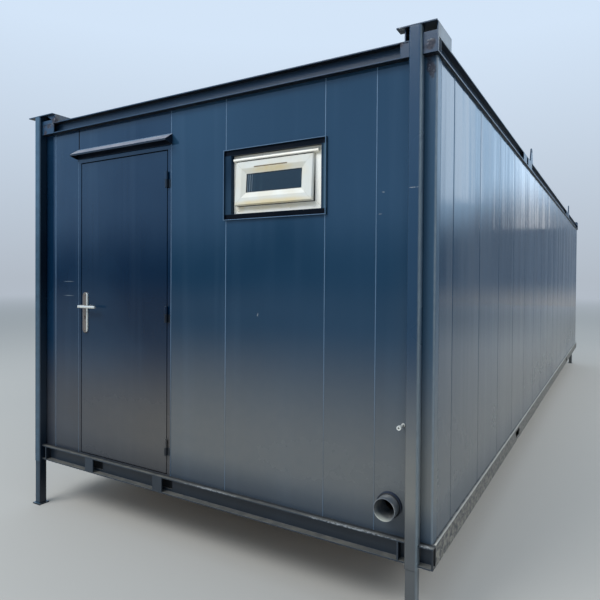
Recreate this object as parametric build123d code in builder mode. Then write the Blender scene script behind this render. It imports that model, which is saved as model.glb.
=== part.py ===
from build123d import *
import os

# Portable site cabin, 32 ft by 10 ft, steel, on four telescopic jack legs.
# The door, a small window and two pipe stubs are in the front end wall.
# X runs across the width, Y along the length with the front end at minus Y,
# and Z up. The origin is on the ground, in the middle under the cabin.

os.makedirs("parts", exist_ok=True)

# Main sizes, in millimetres
cabin_length = 9754.0         # over the flange edges of the two end channels
cabin_width = 3048.0          # over the outer faces of the two side channels
ground_gap = 332.0            # from the ground to the underside of the base
wall_height = 2270.0          # from the base channel to the top channel
wall_thickness = 60.0
end_setback = 40.0            # the end walls stand behind the flange edges
side_setback = 14.0           # the side walls stand behind the channel faces

# Base channels, floor frame and deck
base_height = 102.0
base_web = 6.0
base_flange = 7.0
side_base_depth = 50.0
joist_width = 50.0
joist_sheet = 3.0
joist_count = 15              # between the two end joists
deck_thickness = 22.0

# Top channels, roof frame, roof sheet and ceiling
top_height = 76.0
top_web = 5.0
top_flange = 6.0
side_top_depth = 34.0
purlin_height = 32.0
purlin_width = 45.0
purlin_count = 11
purlin_end_gap = 6.0
ceiling_thickness = 12.0
roof_pitch = 333.0            # from one roof rib to the next
roof_rib_height = 28.0
roof_rib_top = 40.0
roof_rib_foot = 90.0
roof_sheet_thickness = 1.5
roof_edge_gap = 8.0

# Wall panel joints
panel_pitch = 609.6
joint_width = 5.0
joint_depth = 2.0
front_left_joint = 234.0      # from the left side of the cabin to the first joint
front_right_joint = 310.0     # from the right side to the last joint
window_joints = (-324.0, 325.0)   # either side of the window, from its middle
side_joint_start = 340.0      # from the front end of the cabin to the first joint

# Corner posts
post_size = 60.0
post_wall = 4.0
post_radius = 12.0

# Jack legs: a fixed sleeve and an inner leg with a foot
sleeve_size = 60.0
sleeve_wall = 3.0
sleeve_radius = 9.0
sleeve_inset = 72.0           # from the side of the cabin to the sleeve's outer face
sleeve_drop = 14.0            # sleeve end below the base channel
leg_fit = 0.4                 # between the leg and the inside of its sleeve
leg_wall = 4.0
leg_length = 1150.0
leg_radius = 4.0
foot_size = 78.0
foot_thickness = 8.0

# Stacking caps on the four corners
cap_rise = 61.0               # cap top above the top channel
cap_plate = 6.0
cap_widths = {-1: 275.0, 1: 193.0}        # top plate, left and right corners
cap_box_widths = {-1: 275.0, 1: 159.0}    # side plates under it
cap_length = 241.0
cap_strip = 16.0
cap_bar_height = 22.0
cap_gusset_length = 90.0
end_plate_reaches = {-1: 262.0, 1: 179.0}  # plates that close the top channel by the leg
end_plate_thickness = 5.0
base_strip_width = 8.0
base_strip_thickness = 6.0

# Door, frame, hinges and handle
door_centre = -590.0
leaf_width = 814.0
leaf_height = 2014.0
leaf_thickness = 44.0
leaf_gap = 7.0
leaf_floor_gap = 12.0
frame_face = 26.0
door_proud = 3.0              # leaf and frame stand this far ahead of the wall
seal_gap = 5.0
stop_width = 16.0
hinge_length = 100.0
hinge_radius = 9.0
hinge_pin_radius = 5.0
hinge_pin_fit = 0.3
hinge_split = 1.0
hinge_clearance = 0.5
hinge_plate = 2.5
hinge_plate_width = 26.0
hinge_heights = (612.0, 1442.0, 2280.0)
handle_height = 1468.0
handle_backset = 46.0         # from the leaf's free edge to the spindle
handle_plate_width = 50.0
handle_plate_height = 280.0
handle_plate_thickness = 9.0
handle_plate_drop = 42.0      # plate centre below the spindle
keyhole_drop = 73.0           # keyhole below the spindle
keyhole_radius = 8.5
keyhole_slot_width = 10.0
keyhole_slot_length = 18.0
lever_neck_radius = 10.0
lever_neck_length = 48.0
lever_length = 152.0
lever_heel = 20.0             # the lever runs this far behind its spindle
lever_radius = 9.0
lever_fit = 0.5
spindle_radius = 5.0
spindle_bore = 12.0

# Rain hood over the door
hood_ends = (-460.0, 447.0)   # from the middle of the door
hood_depth = 60.0
hood_back_height = 65.0
hood_lip_rise = 13.0          # the lip's lower edge above the back's lower edge
hood_lip_height = 12.0
hood_sheet = 3.0
hood_bottom = 2497.0

# Window
window_from_side = 920.0      # from the right side of the cabin to the window's middle
window_centre_z = 2204.0
window_hole_width = 594.0
window_hole_shift = 9.0       # from the window's middle to the right
window_hole_height = 340.0
trim_width = 669.0
trim_height = 402.0
trim_proud = 14.0
trim_rim = 4.0
trim_sheet = 3.0
frame_depth = 52.0
frame_recess = 26.0
window_frame_face = 62.0
drip_bar_radius = 9.0
drip_bar_rise = 142.0         # above the window's middle
drip_bar_length = 557.0
sash_width = 511.0            # over the lip that laps the frame's face
sash_height = 253.0
sash_rise = 3.5
sash_shift = -4.5
sash_proud = 18.0
sash_body_gap = 4.0           # between the sash's body and the frame's opening
sash_body_depth = 34.0
sash_face = 73.0              # from the sash's edge to the glass
sash_bevel_width = 30.0
sash_bevel_depth = 10.0
sash_edge_bevel = 6.0
sash_ajar = 3.6               # degrees, hung from its top edge
vent_width = 220.0
vent_height = 7.0
vent_depth = 12.0
vent_drop = 39.0              # below the top of the sash
vent_shift = -17.5
glass_thickness = 20.0
glass_set_back = 12.0         # behind the sash's front face

# Pipe stubs in the front wall
soil_from_side = 227.0
soil_z = 578.0
soil_radius = 55.0
soil_wall = 4.0
soil_reach = 75.0
soil_collar_radius = 63.0
soil_collar_length = 18.0
overflow_from_side = 161.0
overflow_z = 974.0
overflow_radius = 6.0
overflow_wall = 1.5
overflow_reach = 66.0
overflow_collar_radius = 9.0
overflow_collar_length = 4.0
overflow_end_radius = 11.0
overflow_end_length = 14.0
pipe_fit = 1.0

# Step pockets in the front base channel, and fork slots in the side channels
step_plates = (-281.0, 364.0)   # from the middle of the door
step_plate_width = 80.0
step_plate_thickness = 8.0
step_hole_offset = 43.0
step_hole_width = 100.0
step_hole_height = 56.0
stiffener_thickness = 8.0
stiffener_gap = 40.0
slot_from_end = 2400.0
slot_width = 190.0
slot_height = 56.0

# Lifting lugs on the side top channels
lug_from_front = {-1: 3110.0, 1: 7560.0}   # front and rear lugs, from the front end
lug_length = 160.0
lug_top_radius = 30.0
lug_height = 148.0
lug_thickness = 12.0
lug_inset = 8.0
lug_hole_radius = 15.0
box_plate_thickness = 6.0
box_plate_near = (-553.0, -372.0)   # along the rail, from the lug's middle
box_plate_far = (-295.0, -53.0)

# Levels and planes that follow from the sizes above
half_length = cabin_length / 2
half_width = cabin_width / 2
base_bottom = ground_gap
base_top = base_bottom + base_height
wall_top = base_top + wall_height
rail_top = wall_top + top_height
cap_top = rail_top + cap_rise
deck_top = base_top + deck_thickness
end_face = half_length - end_setback            # outer face of the end walls
end_inner = end_face - wall_thickness
side_face = half_width - side_setback           # outer face of the side walls
side_inner = side_face - wall_thickness
end_base_depth = end_setback + base_web
end_top_depth = end_setback + top_web
leg_size = sleeve_size - 2 * sleeve_wall - 2 * leg_fit
sleeve_x = half_width - sleeve_inset - sleeve_size / 2
sleeve_y = end_face + sleeve_size / 2
soil_x = half_width - soil_from_side
overflow_x = half_width - overflow_from_side
window_centre_x = half_width - window_from_side
hole_x = window_centre_x + window_hole_shift
sash_x = window_centre_x + sash_shift
corners = {"front_left": (-1, -1), "front_right": (1, -1), "rear_left": (-1, 1), "rear_right": (1, 1)}


def keep(part, name):
    """Give a finished piece its name and write it."""
    part.label = name
    export_step(part, f"parts/{name}.step")


def slab(x0, x1, y0, y1, z0, z1):
    """A plain block between two opposite corners."""
    with BuildPart() as block:
        with Locations(((x0 + x1) / 2, (y0 + y1) / 2, (z0 + z1) / 2)):
            Box(abs(x1 - x0), abs(y1 - y0), abs(z1 - z0))
    return block.part


def sleeve_notches():
    """The stretch of each end flange that gives way to a jack sleeve, as its middle
    and width. On the left nothing is left of the flange beyond the sleeve."""
    left_inner = -(sleeve_x - sleeve_size / 2)
    left_width = left_inner + half_width
    return ((left_inner - left_width / 2, left_width), (sleeve_x, sleeve_size))


# Base channels. The end channels run the full width, open side outwards, with
# their flanges notched for the jack sleeves; the side channels butt against them.
def end_base_channel(side, with_steps):
    edge = side * half_length
    web_face = side * end_face
    back = side * (half_length - end_base_depth)
    flange_middle = (edge + web_face) / 2
    with BuildPart() as channel:
        with BuildSketch(Plane.YZ.offset(-half_width)):
            with BuildLine():
                Polyline(
                    (edge, base_bottom),
                    (back, base_bottom),
                    (back, base_top),
                    (edge, base_top),
                    (edge, base_top - base_flange),
                    (web_face, base_top - base_flange),
                    (web_face, base_bottom + base_flange),
                    (edge, base_bottom + base_flange),
                    close=True,
                )
            make_face()
        extrude(amount=cabin_width)
        for x, width in sleeve_notches():
            with Locations((x, flange_middle, base_bottom)):
                Box(width, end_setback, 3 * base_height, mode=Mode.SUBTRACT)
        stiffener_x = sleeve_x - sleeve_size / 2 - stiffener_gap
        inner_height = base_height - 2 * base_flange
        with Locations((-stiffener_x, flange_middle, (base_bottom + base_top) / 2),
                       (stiffener_x, flange_middle, (base_bottom + base_top) / 2)):
            Box(stiffener_thickness, end_setback, inner_height)
        strip_y = edge - side * base_strip_thickness / 2
        with Locations((half_width - base_strip_width / 2, strip_y, (base_bottom + base_top) / 2)):
            Box(base_strip_width, base_strip_thickness, inner_height)
        if with_steps:
            for offset in step_plates:
                x = door_centre + offset
                with Locations((x, edge - side * step_plate_thickness / 2, (base_bottom + base_top) / 2)):
                    Box(step_plate_width, step_plate_thickness, inner_height)
                with Locations((x + step_hole_offset, back, (base_bottom + base_top) / 2)):
                    Box(step_hole_width, 4 * base_web, step_hole_height, mode=Mode.SUBTRACT)
    return channel.part


keep(end_base_channel(-1, True), "front_bottom_channel")
keep(end_base_channel(1, False), "rear_bottom_channel")


def side_base_channel(side):
    outer = side * half_width
    tip = side * (half_width - side_base_depth)
    web_back = side * (half_width - base_web)
    run = half_length - end_base_depth
    with BuildPart() as channel:
        with BuildSketch(Plane.XZ.offset(-run)):
            with BuildLine():
                Polyline(
                    (outer, base_bottom),
                    (outer, base_top),
                    (tip, base_top),
                    (tip, base_top - base_flange),
                    (web_back, base_top - base_flange),
                    (web_back, base_bottom + base_flange),
                    (tip, base_bottom + base_flange),
                    (tip, base_bottom),
                    close=True,
                )
            make_face()
        extrude(amount=2 * run)
        slot_y = half_length - slot_from_end
        slot_z = (base_bottom + base_top) / 2
        with Locations((outer, -slot_y, slot_z), (outer, slot_y, slot_z)):
            Box(4 * base_web, slot_width, slot_height, mode=Mode.SUBTRACT)
    return channel.part


keep(side_base_channel(-1), "left_bottom_channel")
keep(side_base_channel(1), "right_bottom_channel")

# Floor joists: cold-formed channels across the cabin, between the flange tips of
# the side channels, with one close behind each end channel under the end wall.
joist_reach = half_width - side_base_depth
end_joist_y = half_length - end_base_depth - joist_width / 2
joist_ys = [-end_joist_y + i * 2 * end_joist_y / (joist_count + 1) for i in range(joist_count + 2)]
with BuildPart() as joists:
    for y in joist_ys:
        with BuildSketch(Plane.YZ.offset(-joist_reach)):
            with Locations((y, (base_bottom + base_flange + base_top) / 2)):
                Rectangle(joist_width, base_height - base_flange)
            open_side = joist_sheet if y < 0 else -joist_sheet
            with Locations((y + open_side, (base_bottom + base_flange + base_top) / 2)):
                Rectangle(joist_width, base_height - base_flange - 2 * joist_sheet, mode=Mode.SUBTRACT)
        extrude(amount=2 * joist_reach)
keep(joists.part, "floor_joists")

# Floor deck, with a tongue that runs out through the doorway to the sill
keep(slab(-side_inner, side_inner, -end_inner, end_inner, base_top, deck_top), "floor_deck")

# Corner posts: folded hollow posts with a rounded outer corner, between base and top channel
with BuildPart() as posts:
    for sx, sy in corners.values():
        post_x = sx * (side_face - post_size / 2)
        post_y = sy * (end_face - post_size / 2)
        with BuildSketch(Plane.XY.offset(base_top)) as section:
            with Locations((post_x, post_y)):
                Rectangle(post_size, post_size)
            fillet(section.vertices().sort_by_distance((0, 0, 0))[-1], post_radius)
            with Locations((post_x, post_y)):
                Rectangle(post_size - 2 * post_wall, post_size - 2 * post_wall, mode=Mode.SUBTRACT)
        extrude(amount=wall_height)
keep(posts.part, "corner_posts")


# Top channels, open side outwards, each with a shelf that covers the wall under it.
# The end channels run the full width and are notched for the jack sleeves; plates
# flush with their flange edges close them beside the legs.
def end_top_channel(side):
    edge = side * half_length
    web_face = side * end_face
    web_back = side * (half_length - end_top_depth)
    shelf = side * end_inner
    with BuildPart() as channel:
        with BuildSketch(Plane.YZ.offset(-half_width)):
            with BuildLine():
                Polyline(
                    (edge, wall_top),
                    (shelf, wall_top),
                    (shelf, wall_top + top_flange),
                    (web_back, wall_top + top_flange),
                    (web_back, rail_top),
                    (edge, rail_top),
                    (edge, rail_top - top_flange),
                    (web_face, rail_top - top_flange),
                    (web_face, wall_top + top_flange),
                    (edge, wall_top + top_flange),
                    close=True,
                )
            make_face()
        extrude(amount=cabin_width)
        middle_y = (edge + web_face) / 2
        middle_z = (wall_top + rail_top) / 2
        plate_y = edge - side * end_plate_thickness / 2
        for sx, reach in end_plate_reaches.items():
            with Locations((sx * (half_width - reach / 2), plate_y, middle_z)):
                Box(reach, end_plate_thickness, top_height - 2 * top_flange)
        for x, width in sleeve_notches():
            with Locations((x, middle_y, middle_z)):
                Box(width, end_setback, 2 * top_height, mode=Mode.SUBTRACT)
        shelf_middle = side * (half_length - end_top_depth + end_inner) / 2
        cut_width = half_width - side_inner
        shelf_run = abs(half_length - end_top_depth - end_inner)
        for sx in (-1, 1):
            with Locations((sx * (half_width - cut_width / 2), shelf_middle, wall_top)):
                Box(cut_width, shelf_run, 4 * top_flange, mode=Mode.SUBTRACT)
    return channel.part


keep(end_top_channel(-1), "front_top_channel")
keep(end_top_channel(1), "rear_top_channel")


def side_top_channel(side):
    outer = side * half_width
    web_face = side * (half_width - side_top_depth + top_web)
    web_back = side * (half_width - side_top_depth)
    shelf = side * side_inner
    run = half_length - end_top_depth
    with BuildPart() as channel:
        with BuildSketch(Plane.XZ.offset(-run)):
            with BuildLine():
                Polyline(
                    (outer, wall_top),
                    (shelf, wall_top),
                    (shelf, wall_top + top_flange),
                    (web_back, wall_top + top_flange),
                    (web_back, rail_top),
                    (outer, rail_top),
                    (outer, rail_top - top_flange),
                    (web_face, rail_top - top_flange),
                    (web_face, wall_top + top_flange),
                    (outer, wall_top + top_flange),
                    close=True,
                )
            make_face()
        extrude(amount=2 * run)
    return channel.part


keep(side_top_channel(-1), "left_top_channel")
keep(side_top_channel(1), "right_top_channel")

# Roof purlins rest on the shelves of the side channels and carry the roof sheet
purlin_bottom = wall_top + top_flange
purlin_top = purlin_bottom + purlin_height
purlin_reach = half_width - side_top_depth - purlin_end_gap
purlin_end_y = end_inner - purlin_width
with BuildPart() as purlins:
    for i in range(purlin_count):
        y = -purlin_end_y + i * 2 * purlin_end_y / (purlin_count - 1)
        with BuildSketch(Plane.YZ.offset(-purlin_reach)):
            with Locations((y, (purlin_bottom + purlin_top) / 2)):
                Rectangle(purlin_width, purlin_height)
        extrude(amount=2 * purlin_reach)
keep(purlins.part, "roof_purlins")

# Roof sheet: box-profile steel with its ribs across the cabin, below the rail tops
sheet_half_y = half_length - end_top_depth - roof_edge_gap
sheet_half_x = half_width - side_top_depth - roof_edge_gap
rib_count = int(2 * sheet_half_y // roof_pitch)
first_rib = -(rib_count - 1) * roof_pitch / 2
outline = [(-sheet_half_y, purlin_top)]
for i in range(rib_count):
    rib = first_rib + i * roof_pitch
    outline += [
        (rib - roof_rib_foot / 2, purlin_top),
        (rib - roof_rib_top / 2, purlin_top + roof_rib_height),
        (rib + roof_rib_top / 2, purlin_top + roof_rib_height),
        (rib + roof_rib_foot / 2, purlin_top),
    ]
outline.append((sheet_half_y, purlin_top))
upper = [(y, z + roof_sheet_thickness) for y, z in outline]
with BuildPart() as roof:
    with BuildSketch(Plane.YZ.offset(-sheet_half_x)):
        with BuildLine():
            Polyline(*outline, *reversed(upper), close=True)
        make_face()
    extrude(amount=2 * sheet_half_x)
keep(roof.part, "roof_sheet")

ceiling_top = wall_top + top_flange
keep(slab(-side_inner, side_inner, -end_inner, end_inner, ceiling_top - ceiling_thickness, ceiling_top),
     "ceiling_board")

# Door opening, from the leaf outwards
opening_width = leaf_width + 2 * leaf_gap
frame_outer_width = opening_width + 2 * frame_face
frame_left = door_centre - frame_outer_width / 2
frame_right = door_centre + frame_outer_width / 2
leaf_left = door_centre - leaf_width / 2
leaf_right = door_centre + leaf_width / 2
leaf_bottom = base_top + leaf_floor_gap
leaf_top = leaf_bottom + leaf_height
frame_top = leaf_top + leaf_gap + frame_face


# End walls: flat steel-faced panels with upright joints
def end_wall_piece(side, x0, x1, z0, z1, joints):
    face = side * end_face
    with BuildPart() as wall:
        add(slab(x0, x1, face, side * end_inner, z0, z1))
        for x in joints:
            with Locations((x, face, (z0 + z1) / 2)):
                Box(joint_width, 2 * joint_depth, z1 - z0, mode=Mode.SUBTRACT)
    return wall.part


post_inner = side_face - post_size
rear_count = int((post_inner - joint_width) // panel_pitch)
rear_joints = [i * panel_pitch for i in range(-rear_count, rear_count + 1)]
right_joints = [window_centre_x + offset for offset in window_joints] + [half_width - front_right_joint]
keep(end_wall_piece(-1, -post_inner, frame_left, base_top, wall_top,
                    [front_left_joint - half_width]), "front_wall_left")
keep(end_wall_piece(-1, frame_left, frame_right, frame_top, wall_top, []), "front_wall_over_door")
with BuildPart() as front_right:
    add(end_wall_piece(-1, frame_right, post_inner, base_top, wall_top, right_joints))
    with Locations((hole_x, -(end_face + end_inner) / 2, window_centre_z)):
        Box(window_hole_width, 2 * wall_thickness, window_hole_height, mode=Mode.SUBTRACT)
    with BuildSketch(Plane.XZ.offset(end_face)):
        with Locations((soil_x, soil_z)):
            Circle(soil_radius + pipe_fit)
        with Locations((overflow_x, overflow_z)):
            Circle(overflow_radius + pipe_fit)
    extrude(amount=-wall_thickness, mode=Mode.SUBTRACT)
keep(front_right.part, "front_wall_right")
keep(end_wall_piece(1, -post_inner, post_inner, base_top, wall_top, rear_joints), "rear_wall")

# Side walls: the same panels, one joint every two feet
side_run = end_face - post_size
first_joint = side_joint_start - half_length
panel_count = int((side_run - joint_width - first_joint) // panel_pitch) + 1


def side_wall(side):
    face = side * side_face
    with BuildPart() as wall:
        add(slab(face, side * side_inner, -side_run, side_run, base_top, wall_top))
        with Locations(*[(face, first_joint + i * panel_pitch, (base_top + wall_top) / 2)
                         for i in range(panel_count)]):
            Box(2 * joint_depth, joint_width, wall_height, mode=Mode.SUBTRACT)
    return wall.part


keep(side_wall(-1), "left_wall")
keep(side_wall(1), "right_wall")

# Door frame: steel jambs, head and sill with a stop that the leaf shuts against
frame_front = -(end_face + door_proud)
frame_back = -end_inner
leaf_front = frame_front
leaf_back = leaf_front + leaf_thickness
stop_front = leaf_back + seal_gap
with BuildPart() as frame:
    add(slab(frame_left, frame_right, frame_front, frame_back, base_top, frame_top))
    with BuildSketch(Plane.XZ.offset(-frame_front)):
        with Locations((door_centre, (leaf_bottom + leaf_top) / 2)):
            Rectangle(opening_width, leaf_height + 2 * leaf_gap)
    extrude(amount=frame_front - stop_front, mode=Mode.SUBTRACT)
    with BuildSketch(Plane.XZ.offset(-stop_front)):
        with Locations((door_centre, (deck_top + leaf_top - stop_width) / 2)):
            Rectangle(opening_width - 2 * stop_width, leaf_top - stop_width - deck_top)
    extrude(amount=-(frame_back - stop_front), mode=Mode.SUBTRACT)
keep(frame.part, "door_frame")

# Door leaf: a flat steel-faced leaf with a bore for the lever's spindle
spindle_x = leaf_left + handle_backset
with BuildPart() as leaf:
    add(slab(leaf_left, leaf_right, leaf_front, leaf_back, leaf_bottom, leaf_top))
    fillet(leaf.edges().filter_by(Axis.Z).group_by(Axis.Y)[0], 2.0)
    with BuildSketch(Plane.XZ.offset(-leaf_front)):
        with Locations((spindle_x, handle_height)):
            Circle(spindle_bore)
    extrude(amount=-leaf_thickness, mode=Mode.SUBTRACT)
keep(leaf.part, "door_leaf")

# Hinges: each has a lower knuckle on the frame with a pin, and an upper one on the leaf
hinge_x = leaf_right + leaf_gap / 2
hinge_y = leaf_front - hinge_radius - hinge_clearance
half_knuckle = (hinge_length - hinge_split) / 2


def hinge_half(on_leaf):
    with BuildPart() as half:
        for height in hinge_heights:
            low = height + hinge_split / 2 if on_leaf else height - hinge_length / 2
            with BuildSketch(Plane.XY.offset(low)):
                with Locations((hinge_x, hinge_y)):
                    Circle(hinge_radius)
            extrude(amount=half_knuckle)
            plate_end = leaf_right - hinge_plate_width if on_leaf else frame_right - hinge_plate
            with Locations(((hinge_x + plate_end) / 2, leaf_front - hinge_plate / 2,
                            low + half_knuckle / 2)):
                Box(abs(plate_end - hinge_x), hinge_plate, half_knuckle)
            if on_leaf:
                with BuildSketch(Plane.XY.offset(low)):
                    with Locations((hinge_x, hinge_y)):
                        Circle(hinge_pin_radius + hinge_pin_fit)
                extrude(amount=half_knuckle, mode=Mode.SUBTRACT)
            else:
                with BuildSketch(Plane.XY.offset(low + half_knuckle)):
                    with Locations((hinge_x, hinge_y)):
                        Circle(hinge_pin_radius)
                extrude(amount=half_knuckle + hinge_split)
    return half.part


keep(hinge_half(False), "frame_hinges")
keep(hinge_half(True), "leaf_hinges")

# Handle plates: one long plate with round ends and a keyhole on each face of the leaf
plate_z = handle_height - handle_plate_drop
keyhole_z = handle_height - keyhole_drop
with BuildPart() as plates:
    for plane, amount in ((Plane.XZ.offset(-leaf_front), handle_plate_thickness),
                          (Plane.XZ.offset(-leaf_back), -handle_plate_thickness)):
        with BuildSketch(plane):
            with Locations((spindle_x, plate_z)):
                SlotOverall(handle_plate_height, handle_plate_width, rotation=90)
            with Locations((spindle_x, handle_height)):
                Circle(lever_neck_radius + lever_fit, mode=Mode.SUBTRACT)
            with Locations((spindle_x, keyhole_z)):
                Circle(keyhole_radius, mode=Mode.SUBTRACT)
            with Locations((spindle_x, keyhole_z - keyhole_slot_length / 2)):
                Rectangle(keyhole_slot_width, keyhole_slot_length, mode=Mode.SUBTRACT)
        extrude(amount=amount)
keep(plates.part, "handle_plates")

# Lever: a round bar on a neck on each side of the leaf, joined by the spindle
with BuildPart() as lever:
    with BuildSketch(Plane.XZ.offset(-leaf_front)):
        with Locations((spindle_x, handle_height)):
            Circle(lever_neck_radius)
    extrude(amount=lever_neck_length)
    with BuildSketch(Plane.XZ.offset(-leaf_back)):
        with Locations((spindle_x, handle_height)):
            Circle(lever_neck_radius)
    extrude(amount=-lever_neck_length)
    with BuildSketch(Plane.XZ.offset(-leaf_back)):
        with Locations((spindle_x, handle_height)):
            Circle(spindle_radius)
    extrude(amount=leaf_thickness)
    for y in (leaf_front - lever_neck_length, leaf_back + lever_neck_length):
        with BuildSketch(Plane.YZ.offset(spindle_x - lever_heel)):
            with Locations((y, handle_height)):
                RectangleRounded(2 * lever_radius * 0.8, 2 * lever_radius, lever_radius * 0.6)
        extrude(amount=lever_length + lever_heel)
keep(lever.part, "door_lever")

# Rain hood: folded sheet with a back flange, a sloping top, a front lip and end cheeks
hood_left = door_centre + hood_ends[0]
hood_right = door_centre + hood_ends[1]
hood_wall = -end_face
hood_front = hood_wall - hood_depth
hood_top = hood_bottom + hood_back_height
lip_bottom = hood_bottom + hood_lip_rise
lip_top = lip_bottom + hood_lip_height
with BuildPart() as hood:
    with BuildSketch(Plane.YZ.offset(hood_left)):
        with BuildLine():
            Polyline(
                (hood_wall, hood_bottom),
                (hood_wall, hood_top),
                (hood_front, lip_top),
                (hood_front, lip_bottom),
                close=True,
            )
        make_face()
    extrude(amount=hood_right - hood_left)
    with BuildSketch(Plane.YZ.offset(hood_left + hood_sheet)):
        with BuildLine():
            Polyline(
                (hood_wall - hood_sheet, hood_bottom - 1),
                (hood_wall - hood_sheet, hood_top - 2 * hood_sheet),
                (hood_front + hood_sheet, lip_top - hood_sheet),
                (hood_front + hood_sheet, hood_bottom - 1),
                close=True,
            )
        make_face()
    extrude(amount=hood_right - hood_left - 2 * hood_sheet, mode=Mode.SUBTRACT)
keep(hood.part, "rain_hood")

# Window trim: a folded steel surround with a proud rim, a flat tray against the wall
# and a lining that runs into the opening up to the window frame
lining_width = window_hole_width - 2 * trim_sheet
lining_height = window_hole_height - 2 * trim_sheet
with BuildPart() as trim:
    for outer_x, outer_w, outer_h, inner_x, inner_w, inner_h, amount in (
        (window_centre_x, trim_width, trim_height, hole_x, lining_width, lining_height, trim_sheet),
        (window_centre_x, trim_width, trim_height, window_centre_x, trim_width - 2 * trim_rim,
         trim_height - 2 * trim_rim, trim_proud),
        (hole_x, window_hole_width, window_hole_height, hole_x, lining_width, lining_height, -frame_recess),
    ):
        with BuildSketch(Plane.XZ.offset(end_face)):
            with Locations((outer_x, window_centre_z)):
                Rectangle(outer_w, outer_h)
            with Locations((inner_x, window_centre_z)):
                Rectangle(inner_w, inner_h, mode=Mode.SUBTRACT)
        extrude(amount=amount)
keep(trim.part, "window_trim")

# Window frame: four bars around the opening, with a round drip bar along its head
window_front = -(end_face - frame_recess)
frame_opening_width = window_hole_width - 2 * window_frame_face
frame_opening_height = window_hole_height - 2 * window_frame_face
with BuildPart() as window_frame:
    with BuildSketch(Plane.XZ.offset(-window_front)):
        with Locations((hole_x, window_centre_z)):
            Rectangle(window_hole_width, window_hole_height)
            Rectangle(frame_opening_width, frame_opening_height, mode=Mode.SUBTRACT)
    extrude(amount=-frame_depth)
    with BuildSketch(Plane.YZ.offset(window_centre_x - drip_bar_length / 2)):
        with Locations((window_front - drip_bar_radius, window_centre_z + drip_bar_rise)):
            Circle(drip_bar_radius)
        with Locations((window_front - drip_bar_radius / 2, window_centre_z + drip_bar_rise)):
            Rectangle(drip_bar_radius, 2 * drip_bar_radius)
    extrude(amount=drip_bar_length)
keep(window_frame.part, "window_frame")

# Sash: hung from its top edge and left slightly ajar, with a lip that laps over the
# frame, a bevel down to the glass and a vent slot in its top rail
sash_z = window_centre_z + sash_rise
sash_top = sash_z + sash_height / 2
sash_front = window_front - sash_proud
glass_width = sash_width - 2 * sash_face
glass_height = sash_height - 2 * sash_face
sash_hang = Axis((window_centre_x, window_front, sash_top), (1, 0, 0))
with BuildPart() as sash:
    with BuildSketch(Plane.XZ.offset(-window_front)):
        with Locations((sash_x, sash_z)):
            Rectangle(sash_width, sash_height)
    extrude(amount=sash_proud)
    chamfer(sash.faces().sort_by(Axis.Y)[0].edges(), sash_edge_bevel)
    with BuildSketch(Plane.XZ.offset(-window_front)):
        with Locations((hole_x, window_centre_z)):
            Rectangle(frame_opening_width - 2 * sash_body_gap, frame_opening_height - 2 * sash_body_gap)
    extrude(amount=-sash_body_depth)
    for depth, margin in ((0.0, sash_bevel_width), (sash_bevel_depth, 0.0)):
        with BuildSketch(Plane.XZ.offset(-sash_front - depth)):
            with Locations((sash_x, sash_z)):
                Rectangle(glass_width + 2 * margin, glass_height + 2 * margin)
    loft(mode=Mode.SUBTRACT)
    with BuildSketch(Plane.XZ.offset(-sash_front)):
        with Locations((sash_x, sash_z)):
            Rectangle(glass_width, glass_height)
    extrude(amount=-(sash_proud + sash_body_depth), mode=Mode.SUBTRACT)
    with BuildSketch(Plane.XZ.offset(-sash_front)):
        with Locations((sash_x + vent_shift, sash_top - vent_drop)):
            Rectangle(vent_width, vent_height)
    extrude(amount=-vent_depth, mode=Mode.SUBTRACT)
keep(sash.part.rotate(sash_hang, -sash_ajar), "window_sash")

with BuildPart() as glass:
    with BuildSketch(Plane.XZ.offset(-sash_front - glass_set_back)):
        with Locations((sash_x, sash_z)):
            Rectangle(glass_width, glass_height)
    extrude(amount=-glass_thickness)
keep(glass.part.rotate(sash_hang, -sash_ajar), "window_glass")


# Jack sleeves: square tubes on the ends of the cabin, up to the stacking caps
def jack_sleeve(sx, sy):
    with BuildPart() as sleeve:
        with BuildSketch(Plane.XY.offset(base_bottom - sleeve_drop)):
            with Locations((sx * sleeve_x, sy * sleeve_y)):
                RectangleRounded(sleeve_size, sleeve_size, sleeve_radius)
                Rectangle(sleeve_size - 2 * sleeve_wall, sleeve_size - 2 * sleeve_wall, mode=Mode.SUBTRACT)
        extrude(amount=cap_top - cap_plate - base_bottom + sleeve_drop)
    return sleeve.part


# Jack legs: a square tube that slides in the sleeve, with a foot plate
def jack_leg(sx, sy):
    with BuildPart() as leg:
        with BuildSketch(Plane.XY):
            with Locations((sx * sleeve_x, sy * sleeve_y)):
                Rectangle(foot_size, foot_size)
        extrude(amount=foot_thickness)
        with BuildSketch(Plane.XY.offset(foot_thickness)):
            with Locations((sx * sleeve_x, sy * sleeve_y)):
                RectangleRounded(leg_size, leg_size, leg_radius)
                Rectangle(leg_size - 2 * leg_wall, leg_size - 2 * leg_wall, mode=Mode.SUBTRACT)
        extrude(amount=leg_length)
    return leg.part


for corner, (sx, sy) in corners.items():
    keep(jack_sleeve(sx, sy), f"jack_sleeve_{corner}")
    keep(jack_leg(sx, sy), f"jack_leg_{corner}")

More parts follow.
